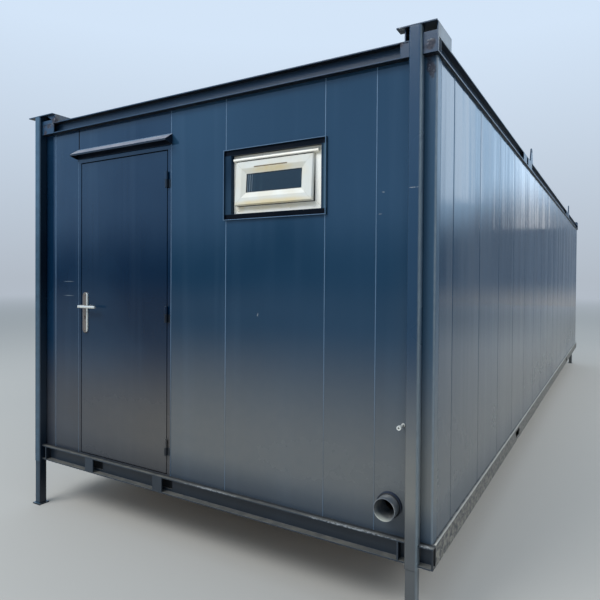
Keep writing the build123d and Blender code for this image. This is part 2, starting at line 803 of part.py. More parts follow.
# Stacking caps: a top plate over each sleeve on three upright plates, open to the
# front above a low bar, with a gusset on the left ones. The top plate is wider in
# front of the end wall on the right ones, and a strip below them closes most of the
# side of the top channel's end.
with BuildPart() as caps:
    for sx, sy in corners.values():
        outer_x = sx * half_width
        inner_x = sx * (half_width - cap_box_widths[sx])
        tip_y = sy * (end_face + sleeve_size)
        front_y = sy * half_length
        back_y = tip_y - sy * cap_length
        plate_bottom = cap_top - cap_plate
        face_y = sy * end_face
        side_start = front_y if sx > 0 else face_y
        add(slab(outer_x, sx * (half_width - cap_widths[sx]), tip_y, face_y, plate_bottom, cap_top))
        add(slab(outer_x, inner_x, face_y, back_y, plate_bottom, cap_top))
        add(slab(outer_x, outer_x - sx * cap_plate, side_start, back_y, rail_top, plate_bottom))
        add(slab(inner_x, inner_x + sx * cap_plate, front_y, back_y, rail_top, plate_bottom))
        add(slab(outer_x, inner_x, back_y + sy * cap_plate, back_y, rail_top, plate_bottom))
        bar_start = sx * (sleeve_x + sleeve_size / 2) if sx > 0 else sx * (sleeve_x - sleeve_size / 2)
        bar_end = outer_x if sx > 0 else inner_x
        add(slab(bar_start, bar_end, front_y, front_y - sy * cap_plate, rail_top, rail_top + cap_bar_height))
        if sx > 0:
            add(slab(outer_x, outer_x - sx * cap_plate, front_y - sy * end_plate_thickness,
                     front_y - sy * cap_strip, wall_top + top_flange, rail_top - top_flange))
        else:
            with BuildSketch(Plane.XZ.offset(-front_y)):
                with BuildLine():
                    Polyline(
                        (inner_x, rail_top),
                        (inner_x, plate_bottom),
                        (inner_x + sx * cap_gusset_length, plate_bottom),
                        close=True,
                    )
                make_face()
            extrude(amount=sy * cap_plate)
keep(caps.part, "stacking_caps")

# Lifting lugs: two tapered eye plates on each side channel, with flat plates that
# box the channel in in front of each
with BuildPart() as lugs:
    for sx, sy in corners.values():
        lug_y = lug_from_front[sy] - half_length
        lug_outer = sx * (half_width - lug_inset)
        eye_z = rail_top + lug_height - lug_top_radius
        with BuildSketch(Plane.YZ.offset(min(lug_outer, lug_outer - sx * lug_thickness))):
            with BuildLine():
                Polyline(
                    (lug_y - lug_top_radius, eye_z),
                    (lug_y - lug_length / 2, rail_top),
                    (lug_y + lug_length / 2, rail_top),
                    (lug_y + lug_top_radius, eye_z),
                )
                ThreePointArc(
                    (lug_y + lug_top_radius, eye_z),
                    (lug_y, eye_z + lug_top_radius),
                    (lug_y - lug_top_radius, eye_z),
                )
            make_face()
            with Locations((lug_y, eye_z)):
                Circle(lug_hole_radius, mode=Mode.SUBTRACT)
        extrude(amount=lug_thickness)
        for start, end in (box_plate_near, box_plate_far):
            add(slab(sx * half_width, sx * (half_width - box_plate_thickness),
                     lug_y + start, lug_y + end, wall_top + top_flange, rail_top - top_flange))
keep(lugs.part, "lifting_lugs")


# Pipe stubs: a plain tube through the wall with rings on it, each given by its start
# from the wall's face, its radius and its length
def pipe_stub(x, z, radius, wall, reach, rings):
    with BuildPart() as pipe:
        with BuildSketch(Plane.XZ.offset(end_face + reach)):
            with Locations((x, z)):
                Circle(radius)
        extrude(amount=-reach - wall_thickness)
        for start, ring_radius, length in rings:
            with BuildSketch(Plane.XZ.offset(end_face + start)):
                with Locations((x, z)):
                    Circle(ring_radius)
            extrude(amount=length)
        with BuildSketch(Plane.XZ.offset(end_face + reach)):
            with Locations((x, z)):
                Circle(radius - wall)
        extrude(amount=-reach - wall_thickness, mode=Mode.SUBTRACT)
    return pipe.part


keep(pipe_stub(soil_x, soil_z, soil_radius, soil_wall, soil_reach,
               [(0.0, soil_collar_radius, soil_collar_length)]), "soil_pipe")
keep(pipe_stub(overflow_x, overflow_z, overflow_radius, overflow_wall, overflow_reach,
               [(0.0, overflow_collar_radius, overflow_collar_length),
                (overflow_reach - overflow_end_length, overflow_end_radius, overflow_end_length)]),
     "overflow_pipe")
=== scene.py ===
import bpy
import math
import numpy as np
from mathutils import Matrix, Vector


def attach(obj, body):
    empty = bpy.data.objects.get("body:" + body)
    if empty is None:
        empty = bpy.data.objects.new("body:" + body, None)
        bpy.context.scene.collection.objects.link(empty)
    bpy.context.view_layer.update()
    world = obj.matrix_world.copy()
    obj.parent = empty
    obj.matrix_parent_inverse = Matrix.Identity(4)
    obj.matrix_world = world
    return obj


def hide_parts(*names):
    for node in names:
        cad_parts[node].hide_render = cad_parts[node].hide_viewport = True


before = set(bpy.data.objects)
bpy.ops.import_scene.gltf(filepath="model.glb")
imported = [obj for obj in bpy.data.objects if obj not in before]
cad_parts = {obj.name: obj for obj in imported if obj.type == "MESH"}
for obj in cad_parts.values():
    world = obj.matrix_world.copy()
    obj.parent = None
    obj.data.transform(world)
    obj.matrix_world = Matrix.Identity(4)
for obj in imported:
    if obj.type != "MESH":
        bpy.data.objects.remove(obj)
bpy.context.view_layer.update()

# The view. The camera stands at head height off the cabin's near front corner, 2.2 m
# right of the middle and 2.4 m in front of the door end, and looks along both walls.
view_place = Vector((2.2356, -7.2764, 1.6667))
view_turn = math.radians(30.66)      # to the left of straight ahead
view_dip = math.radians(0.78)        # below the horizon
view_roll = math.radians(0.40)
camera_data = bpy.data.cameras.new("view")
camera_data.sensor_width = 36.0
camera_data.lens = 32.05
camera_data.shift_x = -0.0020
camera_data.shift_y = -0.0223
camera_data.clip_end = 200.0
camera = bpy.data.objects.new("view", camera_data)
camera.matrix_world = (
    Matrix.Translation(view_place)
    @ Matrix.Rotation(view_turn, 4, "Z")
    @ Matrix.Rotation(math.pi / 2 - view_dip, 4, "X")
    @ Matrix.Rotation(view_roll, 4, "Z")
)
bpy.context.scene.collection.objects.link(camera)
bpy.context.scene.camera = camera


# Base frame: hot-rolled channels welded into a rectangle and sprayed with slate blue enamel. Road dust and
# a painted reflection of the ground grey it low down, and mud has dried on the upward faces. The webs and
# creases of its channels are painted near black: painted shade, with road dirt.
class Finish:
    """A material as it is mixed: each call adds a node and gives back the value that it works out."""

    def __init__(self, name, **sockets):
        self.material = bpy.data.materials.new(name)
        self.material.use_nodes = True
        self.nodes = self.material.node_tree.nodes
        self.links = self.material.node_tree.links
        self.shader = self.nodes["Principled BSDF"]
        self.set(**sockets)
        self.place = self.nodes.new("ShaderNodeTexCoord").outputs["Object"]
        self.facing = self.nodes.new("ShaderNodeNewGeometry").outputs["Normal"]

    def feed(self, socket, value):
        """Links a worked-out value to a socket, or writes a plain one in it."""
        if isinstance(value, bpy.types.NodeSocket):
            self.links.new(value, socket)
        else:
            socket.default_value = value

    def set(self, **sockets):
        """Sets the shader's own sockets, with _ for a space in their names."""
        for name, value in sockets.items():
            self.feed(self.shader.inputs[name.replace("_", " ")], value)

    def math(self, operation, *values):
        """A sum, product or other arithmetic of one to three values."""
        made = self.nodes.new("ShaderNodeMath")
        made.operation = operation
        for socket, value in zip(made.inputs, values):
            self.feed(socket, value)
        return made.outputs[0]

    def vector(self, operation, *values):
        """Arithmetic on whole places or directions. A length or a distance comes back as one number."""
        made = self.nodes.new("ShaderNodeVectorMath")
        made.operation = operation
        for socket, value in zip(made.inputs, values):
            self.feed(socket, value)
        return made.outputs["Value" if operation in ("LENGTH", "DISTANCE") else "Vector"]

    def fold(self, operation, values):
        """Works one operation through several values, from the first to the last."""
        result = values[0]
        for value in values[1:]:
            result = self.math(operation, result, value)
        return result

    def plus(self, *values):
        """The sum of several values."""
        return self.fold("ADD", values)

    def times(self, *values):
        """The product of several values."""
        return self.fold("MULTIPLY", values)

    def most(self, *values):
        """The largest of several values."""
        return self.fold("MAXIMUM", values)

    def noise(self, scale, detail=3.0, stretch=(1.0, 1.0, 1.0)):
        """Cloudy noise from 0 to 1, with about scale lumps in a metre times the stretch of each axis."""
        mapping = self.nodes.new("ShaderNodeMapping")
        self.feed(mapping.inputs["Vector"], self.place)
        mapping.inputs["Scale"].default_value = stretch
        made = self.nodes.new("ShaderNodeTexNoise")
        self.feed(made.inputs["Vector"], mapping.outputs[0])
        made.inputs["Scale"].default_value = scale
        made.inputs["Detail"].default_value = detail
        return made.outputs["Fac"]

    def axis(self, which, of=None):
        """One of the three numbers of a place or direction: 0 is X, 1 is Y and 2 is Z."""
        split = self.nodes.new("ShaderNodeSeparateXYZ")
        self.feed(split.inputs[0], self.place if of is None else of)
        return split.outputs[which]

    def offset(self, which, middle=0.0):
        """How far a place lies from a middle along one axis, to either side of it."""
        along = self.axis(which)
        return self.math("ABSOLUTE", self.math("SUBTRACT", along, middle) if middle else along)

    def ease(self, value, start, end, low=0.0, high=1.0):
        """Runs smoothly from low to high as the value goes from start to end, and stays there beyond."""
        made = self.nodes.new("ShaderNodeMapRange")
        made.interpolation_type = "SMOOTHSTEP"
        for socket, number in zip(made.inputs, (value, start, end, low, high)):
            self.feed(socket, number)
        return made.outputs[0]

    def spread(self, clouds, low=0.0, high=1.0):
        """Spreads noise, most of which lies between 0.3 and 0.7, over low to high."""
        return self.ease(clouds, 0.3, 0.7, low, high)

    def mix(self, share, first, second):
        """A colour that goes from the first to the second as share goes from 0 to 1."""
        made = self.nodes.new("ShaderNodeMix")
        made.data_type = "RGBA"
        self.feed(made.inputs[0], share)
        self.feed(made.inputs[6], first)
        self.feed(made.inputs[7], second)
        return made.outputs[2]

    def bump(self, height, depth, under=None):
        """Raises the surface by height times depth, in metres, over any bump that is already there."""
        made = self.nodes.new("ShaderNodeBump")
        made.inputs["Distance"].default_value = depth
        self.feed(made.inputs["Height"], height)
        if under is not None:
            self.feed(made.inputs["Normal"], under)
        return made.outputs[0]

    def rounded(self, radius):
        """The direction of the surface, with its sharp edges rounded as thick paint leaves them."""
        made = self.nodes.new("ShaderNodeBevel")
        made.samples = 6
        made.inputs["Radius"].default_value = radius
        return made.outputs[0]

    def near(self, centre, reach):
        """1 at a point and falling smoothly to 0 at its reach, which may differ along X, Y and Z."""
        scaled = self.vector("DIVIDE", self.vector("SUBTRACT", self.place, centre), reach)
        return self.ease(self.vector("LENGTH", scaled), 1.0, 0.2)

    def near_any(self, spots):
        """The largest nearness to any of several spots, each a centre and a reach."""
        return self.most(*(self.near(centre, reach) for centre, reach in spots))


def rgb(red, green, blue):
    """A colour as the eye reads it, 0 to 255 a channel, turned into the linear light a shader mixes."""
    shown = np.array((red, green, blue)) / 255.0
    linear = np.where(shown < 0.04045, shown / 12.92, ((shown + 0.055) / 1.055) ** 2.4)
    return (*linear.tolist(), 1.0)


def dress(finish, *nodes):
    """Gives CAD nodes this finish in place of the plain one they were packed with."""
    for name in nodes:
        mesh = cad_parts[name].data
        mesh.materials.clear()
        mesh.materials.append(finish.material)


base_bottom, base_top = 0.332, 0.434
web_margin = 0.009
flange_edge, end_face = 4.877, 4.837
side_inner, end_inner = 1.450, 4.777
slate_blue = rgb(18, 48, 72)
slate_faded = rgb(38, 68, 92)
slate_pale = rgb(96, 122, 146)
road_dust_and_reflection = rgb(118, 116, 108)
rubbed_and_lit_grey = rgb(120, 130, 136)
shade_and_grime = rgb(5, 10, 18)
rust_brown = rgb(52, 47, 54)
rust_dark = rgb(18, 20, 32)


def enamel(name, colour, roughness, dust_and_reflection_share=0.5, ledge_share=0.3, foot_dust_and_reflection_share=0.25, rust_spots=(),
           wear_spots=(), rubbed_and_lit_spots=(), rubbed_and_lit_tone=rubbed_and_lit_grey, dust_and_reflection_tone=road_dust_and_reflection, dust_and_reflection_top=1.45,
           hollow=False, lining=False, edge=0.0018):
    """
    Sprayed enamel. The colour drifts a little over a metre, and faint runs lighten it. A grey of road dust
    and a painted reflection of the ground lies from dust_and_reflection_top down,
    foot_dust_and_reflection_share of it at the very foot, and ledge_share of it lies as dust on faces that
    look up. Undersides and the very foot are darkened towards near black, and so, with hollow, are the webs
    of the end channels, the creases behind their ledges and the slots at the ends of the base channels:
    painted shade, with some grime. Rust and scratched wear show near the spots given for them, and rubbed
    places and painted highlights near rubbed_and_lit_spots.
    With lining, the faces that look into the room are cream. edge is the radius that the paint gives to
    sharp edges.
    """
    paint = Finish(name, Specular_IOR_Level=0.4)
    height = paint.axis(2)
    tilt = paint.axis(2, of=paint.facing)
    upward = paint.ease(tilt, 0.5, 0.95)
    drift = paint.noise(1.1)
    runs = paint.noise(1.0, stretch=(9.0, 9.0, 0.35))
    grit = paint.noise(18.0)
    tone = paint.mix(paint.ease(drift, 0.25, 0.8, 0.0, 0.4), colour, slate_faded)
    tone = paint.mix(paint.ease(runs, 0.50, 0.78, 0.0, 0.05), tone, slate_pale)
    # The grey low down is road dust and a painted reflection of the sunlit ground. It thins at the very
    # foot and towards the left, where the painted reflection is of shaded ground.
    low = paint.times(
        paint.ease(height, dust_and_reflection_top, 0.70),
        paint.ease(height, 0.43, 0.66, foot_dust_and_reflection_share, 1.0),
        paint.ease(paint.axis(0), -1.6, 0.3, 0.55, 1.0),
        paint.ease(grit, 0.2, 0.8, 0.92 * dust_and_reflection_share, dust_and_reflection_share),
    )
    ledge = paint.times(upward, paint.spread(grit, 0.6 * ledge_share, ledge_share))
    dust_and_reflection_mask = paint.most(low, ledge)
    tone = paint.mix(dust_and_reflection_mask, tone, dust_and_reflection_tone)
    # Undersides, and the foot of each face up to 0.62 m, are darkened towards near black: painted shade,
    # with some grime.
    shade = paint.most(paint.ease(tilt, -0.4, -0.8, 0.0, 0.85), paint.ease(height, 0.62, 0.44, 0.0, 0.3))
    tone = paint.mix(shade, tone, shade_and_grime)
    # With hollow, the webs of the end channels, the creases behind their ledges and the open ends of the
    # base channels are painted near black: painted shade in the hollows, with road dirt.
    if hollow:
        from_middle = paint.offset(1)
        behind = paint.times(
            paint.ease(from_middle, end_face - 0.001, end_face + 0.001),
            paint.ease(from_middle, flange_edge - 0.003, flange_edge - 0.011, 0.0, 0.8),
        )
        web = paint.times(behind, paint.ease(tilt, 0.6, 0.3))
        crease = paint.times(
            behind, upward, paint.ease(from_middle, end_face + 0.023, end_face + 0.013),
            paint.ease(height, 0.38, 0.40),
        )
        tone = paint.mix(paint.most(web, crease), tone, shade_and_grime)
        slot = paint.times(
            paint.ease(paint.offset(0), 1.5105, 1.5130),
            paint.ease(height, base_bottom + 0.006, base_bottom + web_margin),
            paint.ease(height, base_top - 0.006, base_top - web_margin),
            paint.ease(from_middle, 4.8705, 4.8712, 1.0, 0.5),
        )
        tone = paint.mix(slot, tone, rgb(0, 2, 6))
    # Near these spots the paint is lightened: a painted highlight on the right legs' side faces, the post's
    # corner and the right cap's side plate, painted light on the front faces of the shaded left legs, and
    # faint pale marks on the wall left of the door.
    if rubbed_and_lit_spots:
        rubbed_and_lit = paint.times(paint.near_any(rubbed_and_lit_spots), paint.ease(grit, 0.2, 0.8, 0.6, 0.9))
        tone = paint.mix(rubbed_and_lit, tone, rubbed_and_lit_tone)
    rough = paint.plus(paint.times(dust_and_reflection_mask, 0.25), roughness, paint.ease(drift, 0.3, 0.8, 0.0, 0.05))
    if wear_spots:
        scratch = paint.noise(110.0, 6.0)
        worn = paint.ease(paint.plus(paint.times(paint.near_any(wear_spots), 0.4), scratch), 0.76, 1.0)
        tone = paint.mix(paint.times(worn, 0.75), tone, rgb(150, 154, 156))
        rough = paint.plus(rough, paint.times(worn, 0.2))
    if rust_spots:
        flake = paint.plus(paint.times(paint.near_any(rust_spots), 0.45), paint.noise(26.0, 9.0))
        rusty = paint.ease(flake, 0.74, 0.98, 0.0, 0.85)
        rust = paint.mix(paint.ease(paint.noise(80.0, 6.0), 0.4, 0.6), rust_dark, rust_brown)
        rust = paint.mix(paint.ease(paint.noise(60.0, 5.0), 0.58, 0.68), rust, rgb(108, 106, 112))
        tone = paint.mix(rusty, tone, rust)
        rough = paint.plus(rough, paint.times(rusty, 0.35))
    if lining:
        inside = paint.times(
            paint.math("LESS_THAN", paint.offset(0), side_inner + 0.0005),
            paint.math("LESS_THAN", paint.offset(1), end_inner + 0.0005),
        )
        tone = paint.mix(inside, tone, paint.mix(paint.noise(5.0), rgb(224, 219, 204), rgb(232, 228, 216)))
        rough = paint.plus(rough, paint.times(inside, 0.25))
    peel = paint.noise(380.0, 2.0)
    buckle = paint.noise(2.3, 1.0, stretch=(1.0, 1.0, 0.45))
    pulled = paint.noise(4.5, 2.0, stretch=(1.0, 1.0, 0.08))
    shape = paint.bump(pulled, 0.0035, paint.bump(buckle, 0.003, paint.rounded(edge)))
    shape = paint.bump(peel, 0.00004, paint.bump(grit, 0.00004, shape))
    paint.set(Base_Color=tone, Roughness=rough, Normal=shape)
    return paint


def solid(rings, loop=False):
    """
    A closed solid from rings of points, all alike in number, as its points, its four-sided faces and its
    triangles. Each ring is joined to the next, and the two end rings are closed by fans to their middles
    or, with loop, joined to each other. Where the faces would point inwards, by the sign of the volume
    that they enclose, they are turned over.
    """
    rings = np.asarray(rings, dtype=float)
    stations, around = rings.shape[:2]
    near = np.arange(stations if loop else stations - 1)[:, None] * around
    far = (near + around) % (stations * around)
    here = np.arange(around)[None, :]
    there = (here + 1) % around
    quads = np.stack((near + here, near + there, far + there, far + here), axis=-1).reshape(-1, 4)
    points = rings.reshape(-1, 3)
    triangles = np.zeros((0, 3), dtype=int)
    if not loop:
        middles = np.full(around, stations * around)
        last = (stations - 1) * around
        triangles = np.vstack((
            np.stack((there[0], here[0], middles), axis=-1),
            np.stack((last + here[0], last + there[0], middles + 1), axis=-1),
        ))
        points = np.vstack((points, rings[0].mean(axis=0), rings[-1].mean(axis=0)))
    halves = np.vstack((quads[:, [0, 1, 2]], quads[:, [0, 2, 3]], triangles))
    first, second, third = (points - points.mean(axis=0))[halves].transpose(1, 0, 2)
    if np.sum(first * np.cross(second, third)) < 0.0:
        quads, triangles = quads[:, ::-1], triangles[:, ::-1]
    return points, quads, triangles


sharp_angle = math.radians(38.0)


def piece(name, solids, finish, body="cabin"):
    """Puts closed solids into one mesh by this name, dresses it and fixes it to a body."""
    start, faces = 0, []
    for points, quads, triangles in solids:
        faces += (quads + start).tolist() + (triangles + start).tolist()
        start += len(points)
    mesh = bpy.data.meshes.new(name)
    mesh.from_pydata(np.vstack([points for points, _, _ in solids]).tolist(), [], faces)
    mesh.polygons.foreach_set("use_smooth", np.ones(len(faces), dtype=bool))
    mesh.set_sharp_from_angle(angle=sharp_angle)
    mesh.materials.append(finish.material)
    made = bpy.data.objects.new(name, mesh)
    bpy.context.scene.collection.objects.link(made)
    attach(made, body)
    return made


def carried(path, profile, up=(0.0, 0.0, 1.0)):
    """
    A bar along a path. At each point of the path, the profile's first number is measured sideways and its
    second along the up direction, both square to the path. The profile may change from point to point.
    """
    path, profile = np.asarray(path, dtype=float), np.asarray(profile, dtype=float)
    ahead = np.gradient(path, axis=0)
    ahead /= np.linalg.norm(ahead, axis=1, keepdims=True)
    side = np.cross(ahead, up)
    side /= np.linalg.norm(side, axis=1, keepdims=True)
    rise = np.cross(side, ahead)
    return solid(path[:, None] + profile[..., :1] * side[:, None] + profile[..., 1:] * rise[:, None])


def weld(start, end, radius, seed):
    """
    A run of weld between two points: a round bead whose radius swells and sinks by a tenth, once for each
    ripple along its length, with a little unevenness, and tapers at both ends.
    """
    start, end = np.array(start), np.array(end)
    length = np.linalg.norm(end - start)
    station_pitch, ripple_pitch = 0.005, 0.009
    share = np.linspace(0.0, 1.0, max(5, int(length / station_pitch)))
    uneven = np.random.default_rng(seed).normal(0.0, 0.09, len(share))
    ripple = 1.0 + 0.1 * np.cos(share * length / ripple_pitch * 2.0 * np.pi) + uneven
    taper = np.clip(np.minimum(share, 1.0 - share) * length / radius + 0.35, 0.0, 1.0) ** 0.5
    size = radius * ripple * taper
    angle = np.linspace(0.0, 2.0 * np.pi, 8, endpoint=False)
    profile = size[:, None, None] * np.stack((np.cos(angle), np.sin(angle)), axis=-1)
    lean = (0.0, 1.0, 0.0) if abs((end - start)[1]) < 0.5 * length else (0.0, 0.0, 1.0)
    return carried(start + share[:, None] * (end - start), profile, lean)


sleeve_inner, sleeve_outer = 1.392, 1.452
corner_signs = ((-1, -1), (1, -1), (-1, 1), (1, 1))
frame_paint = enamel("frame_paint", rgb(20, 34, 46), 0.32, ledge_share=1.0, hollow=True, wear_spots=[
    ((1.1, -flange_edge, base_top), (0.5, 0.03, 0.010)),
    ((0.2, -flange_edge, base_top), (0.4, 0.03, 0.006)),
    ((1.49, -4.872, base_top), (0.05, 0.03, 0.008)),
])
dress(frame_paint, "front_bottom_channel", "rear_bottom_channel")

kerb_paint = Finish("kerb_paint", Specular_IOR_Level=0.35)
splash = kerb_paint.noise(38.0, 8.0, stretch=(1.0, 0.7, 1.0))
crust = kerb_paint.noise(60.0, 6.0)
soiled = kerb_paint.mix(kerb_paint.ease(splash, 0.34, 0.66), rgb(46, 48, 50), rgb(116, 112, 102))
soiled = kerb_paint.mix(kerb_paint.ease(crust, 0.56, 0.68, 0.0, 0.7), soiled, rgb(160, 157, 148))
# The outer strip of the side channels' top face is painted pale: painted highlight along the top edge.
kerb_edge_highlight = kerb_paint.times(
    kerb_paint.ease(kerb_paint.axis(2), base_top - 0.0015, base_top - 0.0001, 0.0, 0.9),
    kerb_paint.ease(kerb_paint.offset(0), 1.513, 1.518),
)
kerb_paint.set(
    Base_Color=kerb_paint.mix(kerb_edge_highlight, soiled, rgb(188, 186, 176)),
    Roughness=kerb_paint.spread(crust, 0.4, 0.65),
    Normal=kerb_paint.bump(crust, 0.0006, kerb_paint.rounded(0.003)),
)
dress(kerb_paint, "left_bottom_channel", "right_bottom_channel")

base_welds = []
for seed, (sx, sy) in enumerate(corner_signs):
    web_y, edge_y = sy * end_face, sy * (flange_edge - 0.002)
    for x in (sx * sleeve_inner, sx * sleeve_outer):
        foot, head = (x, web_y, base_bottom + web_margin), (x, web_y, base_top - web_margin)
        base_welds.append(weld(foot, head, 0.004, 10 + seed))
    x = sx * sleeve_inner
    for z in (base_bottom, base_top):
        base_welds.append(weld((x, web_y, z), (x, edge_y, z), 0.0035, 20 + seed))
piece("base_welds", base_welds, frame_paint)


# Floor: galvanised cold-formed joists between the side channels, under a deck of exterior plywood that is
# left bare inside. The end joists are painted near black: road dirt, and painted shade behind the holes in
# the end channels.
zinc = Finish("joist_zinc", Metallic=0.6)
spangle = zinc.noise(60.0)
# Near the end walls the joists are painted near black: road dirt, and painted shade behind the holes in the
# end channels.
end_dirt_and_shade = zinc.ease(zinc.offset(1), 4.79, 4.82)
zinc.set(
    Base_Color=zinc.mix(end_dirt_and_shade, zinc.mix(spangle, rgb(150, 154, 156), rgb(190, 192, 190)), rgb(14, 15, 17)),
    Roughness=zinc.spread(spangle, 0.45, 0.62),
    Normal=zinc.bump(zinc.noise(9.0), 0.0006, zinc.rounded(0.001)),
)
dress(zinc, "floor_joists", "roof_purlins")

plywood = Finish("deck_plywood")
grain = plywood.noise(6.0, 6.0, stretch=(9.0, 0.8, 9.0))
plywood.set(
    Base_Color=plywood.mix(plywood.spread(grain), rgb(158, 124, 88), rgb(196, 164, 122)),
    Roughness=plywood.spread(grain, 0.55, 0.72),
    Normal=plywood.bump(grain, 0.0003),
)
dress(plywood, "floor_deck")


# Corner posts: folded steel posts with a rounded outer corner, welded between the
# base and top frames and painted with them. Rusty water has run down their heads.
rust_places = [
    ((1.485, -4.870, 2.745), (0.075, 0.06, 0.055)),
    ((1.48, -4.84, 2.66), (0.05, 0.05, 0.11)),
    ((1.355, -4.875, 2.765), (0.05, 0.03, 0.03)),
    ((-1.30, -4.875, 2.760), (0.14, 0.04, 0.035)),
    ((-1.24, -4.87, 2.79), (0.14, 0.05, 0.05)),
    ((-1.36, -4.86, 2.72), (0.04, 0.06, 0.05)),
    ((1.50, 4.86, 2.73), (0.08, 0.06, 0.05)),
    ((-1.50, 4.86, 2.73), (0.08, 0.06, 0.05)),
]
pale_places = [
    ((1.49, -flange_edge, 2.760), (0.03, 0.02, 0.012)),
    ((1.355, -4.89, 2.834), (0.03, 0.03, 0.02)),
    ((-1.27, -4.885, 2.770), (0.04, 0.02, 0.014)),
    ((1.522, -1.897, 2.74), (0.02, 0.10, 0.04)),
    ((1.522, -1.70, 2.74), (0.02, 0.06, 0.03)),
]
# A painted highlight on the right cap's outer side plate.
lit_places = [((1.527, -4.76, 2.80), (0.012, 0.22, 0.10))]
top_paint = enamel("top_paint", rgb(12, 42, 66), 0.34, 0.25, rust_spots=rust_places, wear_spots=pale_places,
                   rubbed_and_lit_spots=lit_places, hollow=True)
# The post's rounded outer corner has a painted highlight up its height.
post_paint = enamel("post_paint", rgb(46, 74, 94), 0.26, 0.8, rust_spots=rust_places[:2], edge=0.004,
                    rubbed_and_lit_spots=[((1.508, -4.835, 1.55), (0.010, 0.010, 7.0))])
dress(post_paint, "corner_posts")


# Top frame: lighter channels open to the outside, with the cut ends of the wall
# sheets tucked on to their shelves. Water stands in them, so paint lifts and rusts.
wall_top, rail_top = 2.704, 2.780
dress(top_paint, "front_top_channel", "rear_top_channel", "left_top_channel", "right_top_channel")
shelf_z, rail_under = 2.711, 2.773
cap_ends = {-1: 1.262, 1: 1.345}
top_welds = []
for seed, (sx, sy) in enumerate(corner_signs):
    sleeve_x, cap_x = sx * sleeve_inner, sx * cap_ends[sx]
    web_y, edge_y, cap_y = sy * 4.842, sy * 4.876, sy * 4.874
    for x in (sx * sleeve_inner, sx * sleeve_outer):
        top_welds.append(weld((x, web_y, shelf_z), (x, web_y, rail_under), 0.004, 40 + seed))
    edge_z = rail_under + 0.001
    top_welds.append(weld((sleeve_x, edge_y, edge_z), (cap_x, edge_y, edge_z), 0.0035, 50 + seed))
    head, foot = (cap_x, cap_y, rail_under - 0.002), (cap_x, cap_y, shelf_z + 0.002)
    top_welds.append(weld(head, foot, 0.003, 60 + seed))
piece("top_welds", top_welds, top_paint)


# Roof: a box-profile steel sheet over purlins between the rails, weathered to a chalky
# grey and held by hexagon screws with washers. The ceiling under it is white board.
roof_steel = Finish("roof_steel")
stain = roof_steel.noise(2.2, 6.0, stretch=(0.5, 3.0, 1.0))
roof_steel.set(
    Base_Color=roof_steel.mix(roof_steel.ease(stain, 0.3, 0.75), rgb(132, 138, 140), rgb(92, 95, 92)),
    Roughness=roof_steel.spread(stain, 0.45, 0.7),
    Normal=roof_steel.bump(roof_steel.noise(7.0), 0.0008),
)
dress(roof_steel, "roof_sheet")


def mottled(name, first, second, lumps, grain, smooth, matt, **constants):
    """
    A plain finish. Its colour drifts from the first to the second in lumps, so many to the metre, and its
    roughness goes from smooth to matt in a finer grain.
    """
    finish = Finish(name, **constants)
    finish.set(
        Base_Color=finish.mix(finish.noise(lumps), first, second),
        Roughness=finish.spread(finish.noise(grain), smooth, matt),
    )
    return finish


ceiling_face = mottled("ceiling_face", rgb(226, 226, 220), rgb(238, 238, 234), 3.0, 90.0, 0.55, 0.65)
ceiling_face.set(Normal=ceiling_face.bump(ceiling_face.noise(300.0), 0.00008))
dress(ceiling_face, "ceiling_board")


def turned(centre, axis, profile, sides=16):
    """
    A round piece. Each station of the profile gives a radius and a distance along the axis from the centre,
    and carries a ring of points at that radius.
    """
    axis = np.asarray(axis, dtype=float)
    side = np.cross(axis, (0.0, 0.0, 1.0) if abs(axis[2]) < 0.9 else (1.0, 0.0, 0.0))
    rise = np.cross(side, axis)
    angle = np.linspace(0.0, 2.0 * np.pi, sides, endpoint=False)
    circle = np.cos(angle)[:, None] * side + np.sin(angle)[:, None] * rise
    radius, distance = np.asarray(profile, dtype=float).T
    return solid(np.asarray(centre) + radius[:, None, None] * circle + distance[:, None, None] * axis)


sheet_top = 2.7435
purlin_ys = np.linspace(-4.732, 4.732, 11)
rib_pitch = 0.333
first_rib = -13.5 * rib_pitch
rib_clearance, screw_shift = 0.06, 0.018
screw_profile = ((0.010, -0.001), (0.010, 0.0012), (0.0062, 0.0022), (0.0062, 0.0075), (0.0045, 0.0088))
screws = []
for y in purlin_ys:
    past_rib = (y - first_rib) % rib_pitch
    if not rib_clearance < past_rib < rib_pitch - rib_clearance:
        y += screw_shift if past_rib < rib_pitch / 2 else -screw_shift
    for x in np.linspace(-1.35, 1.35, 9):
        screws.append(turned((x, y, sheet_top), (0.0, 0.0, 1.0), screw_profile, sides=6))
piece("roof_screws", screws, zinc)


# Walls: flat steel-faced panels, slate gloss enamel outside and a washable cream
# lining inside. Their edges are folded into each other, and each sheet bellies a little.
side_face, wall_thickness = 1.510, 0.060
panel_pitch = 0.6096
joint_gap, joint_depth = 0.005, 0.002


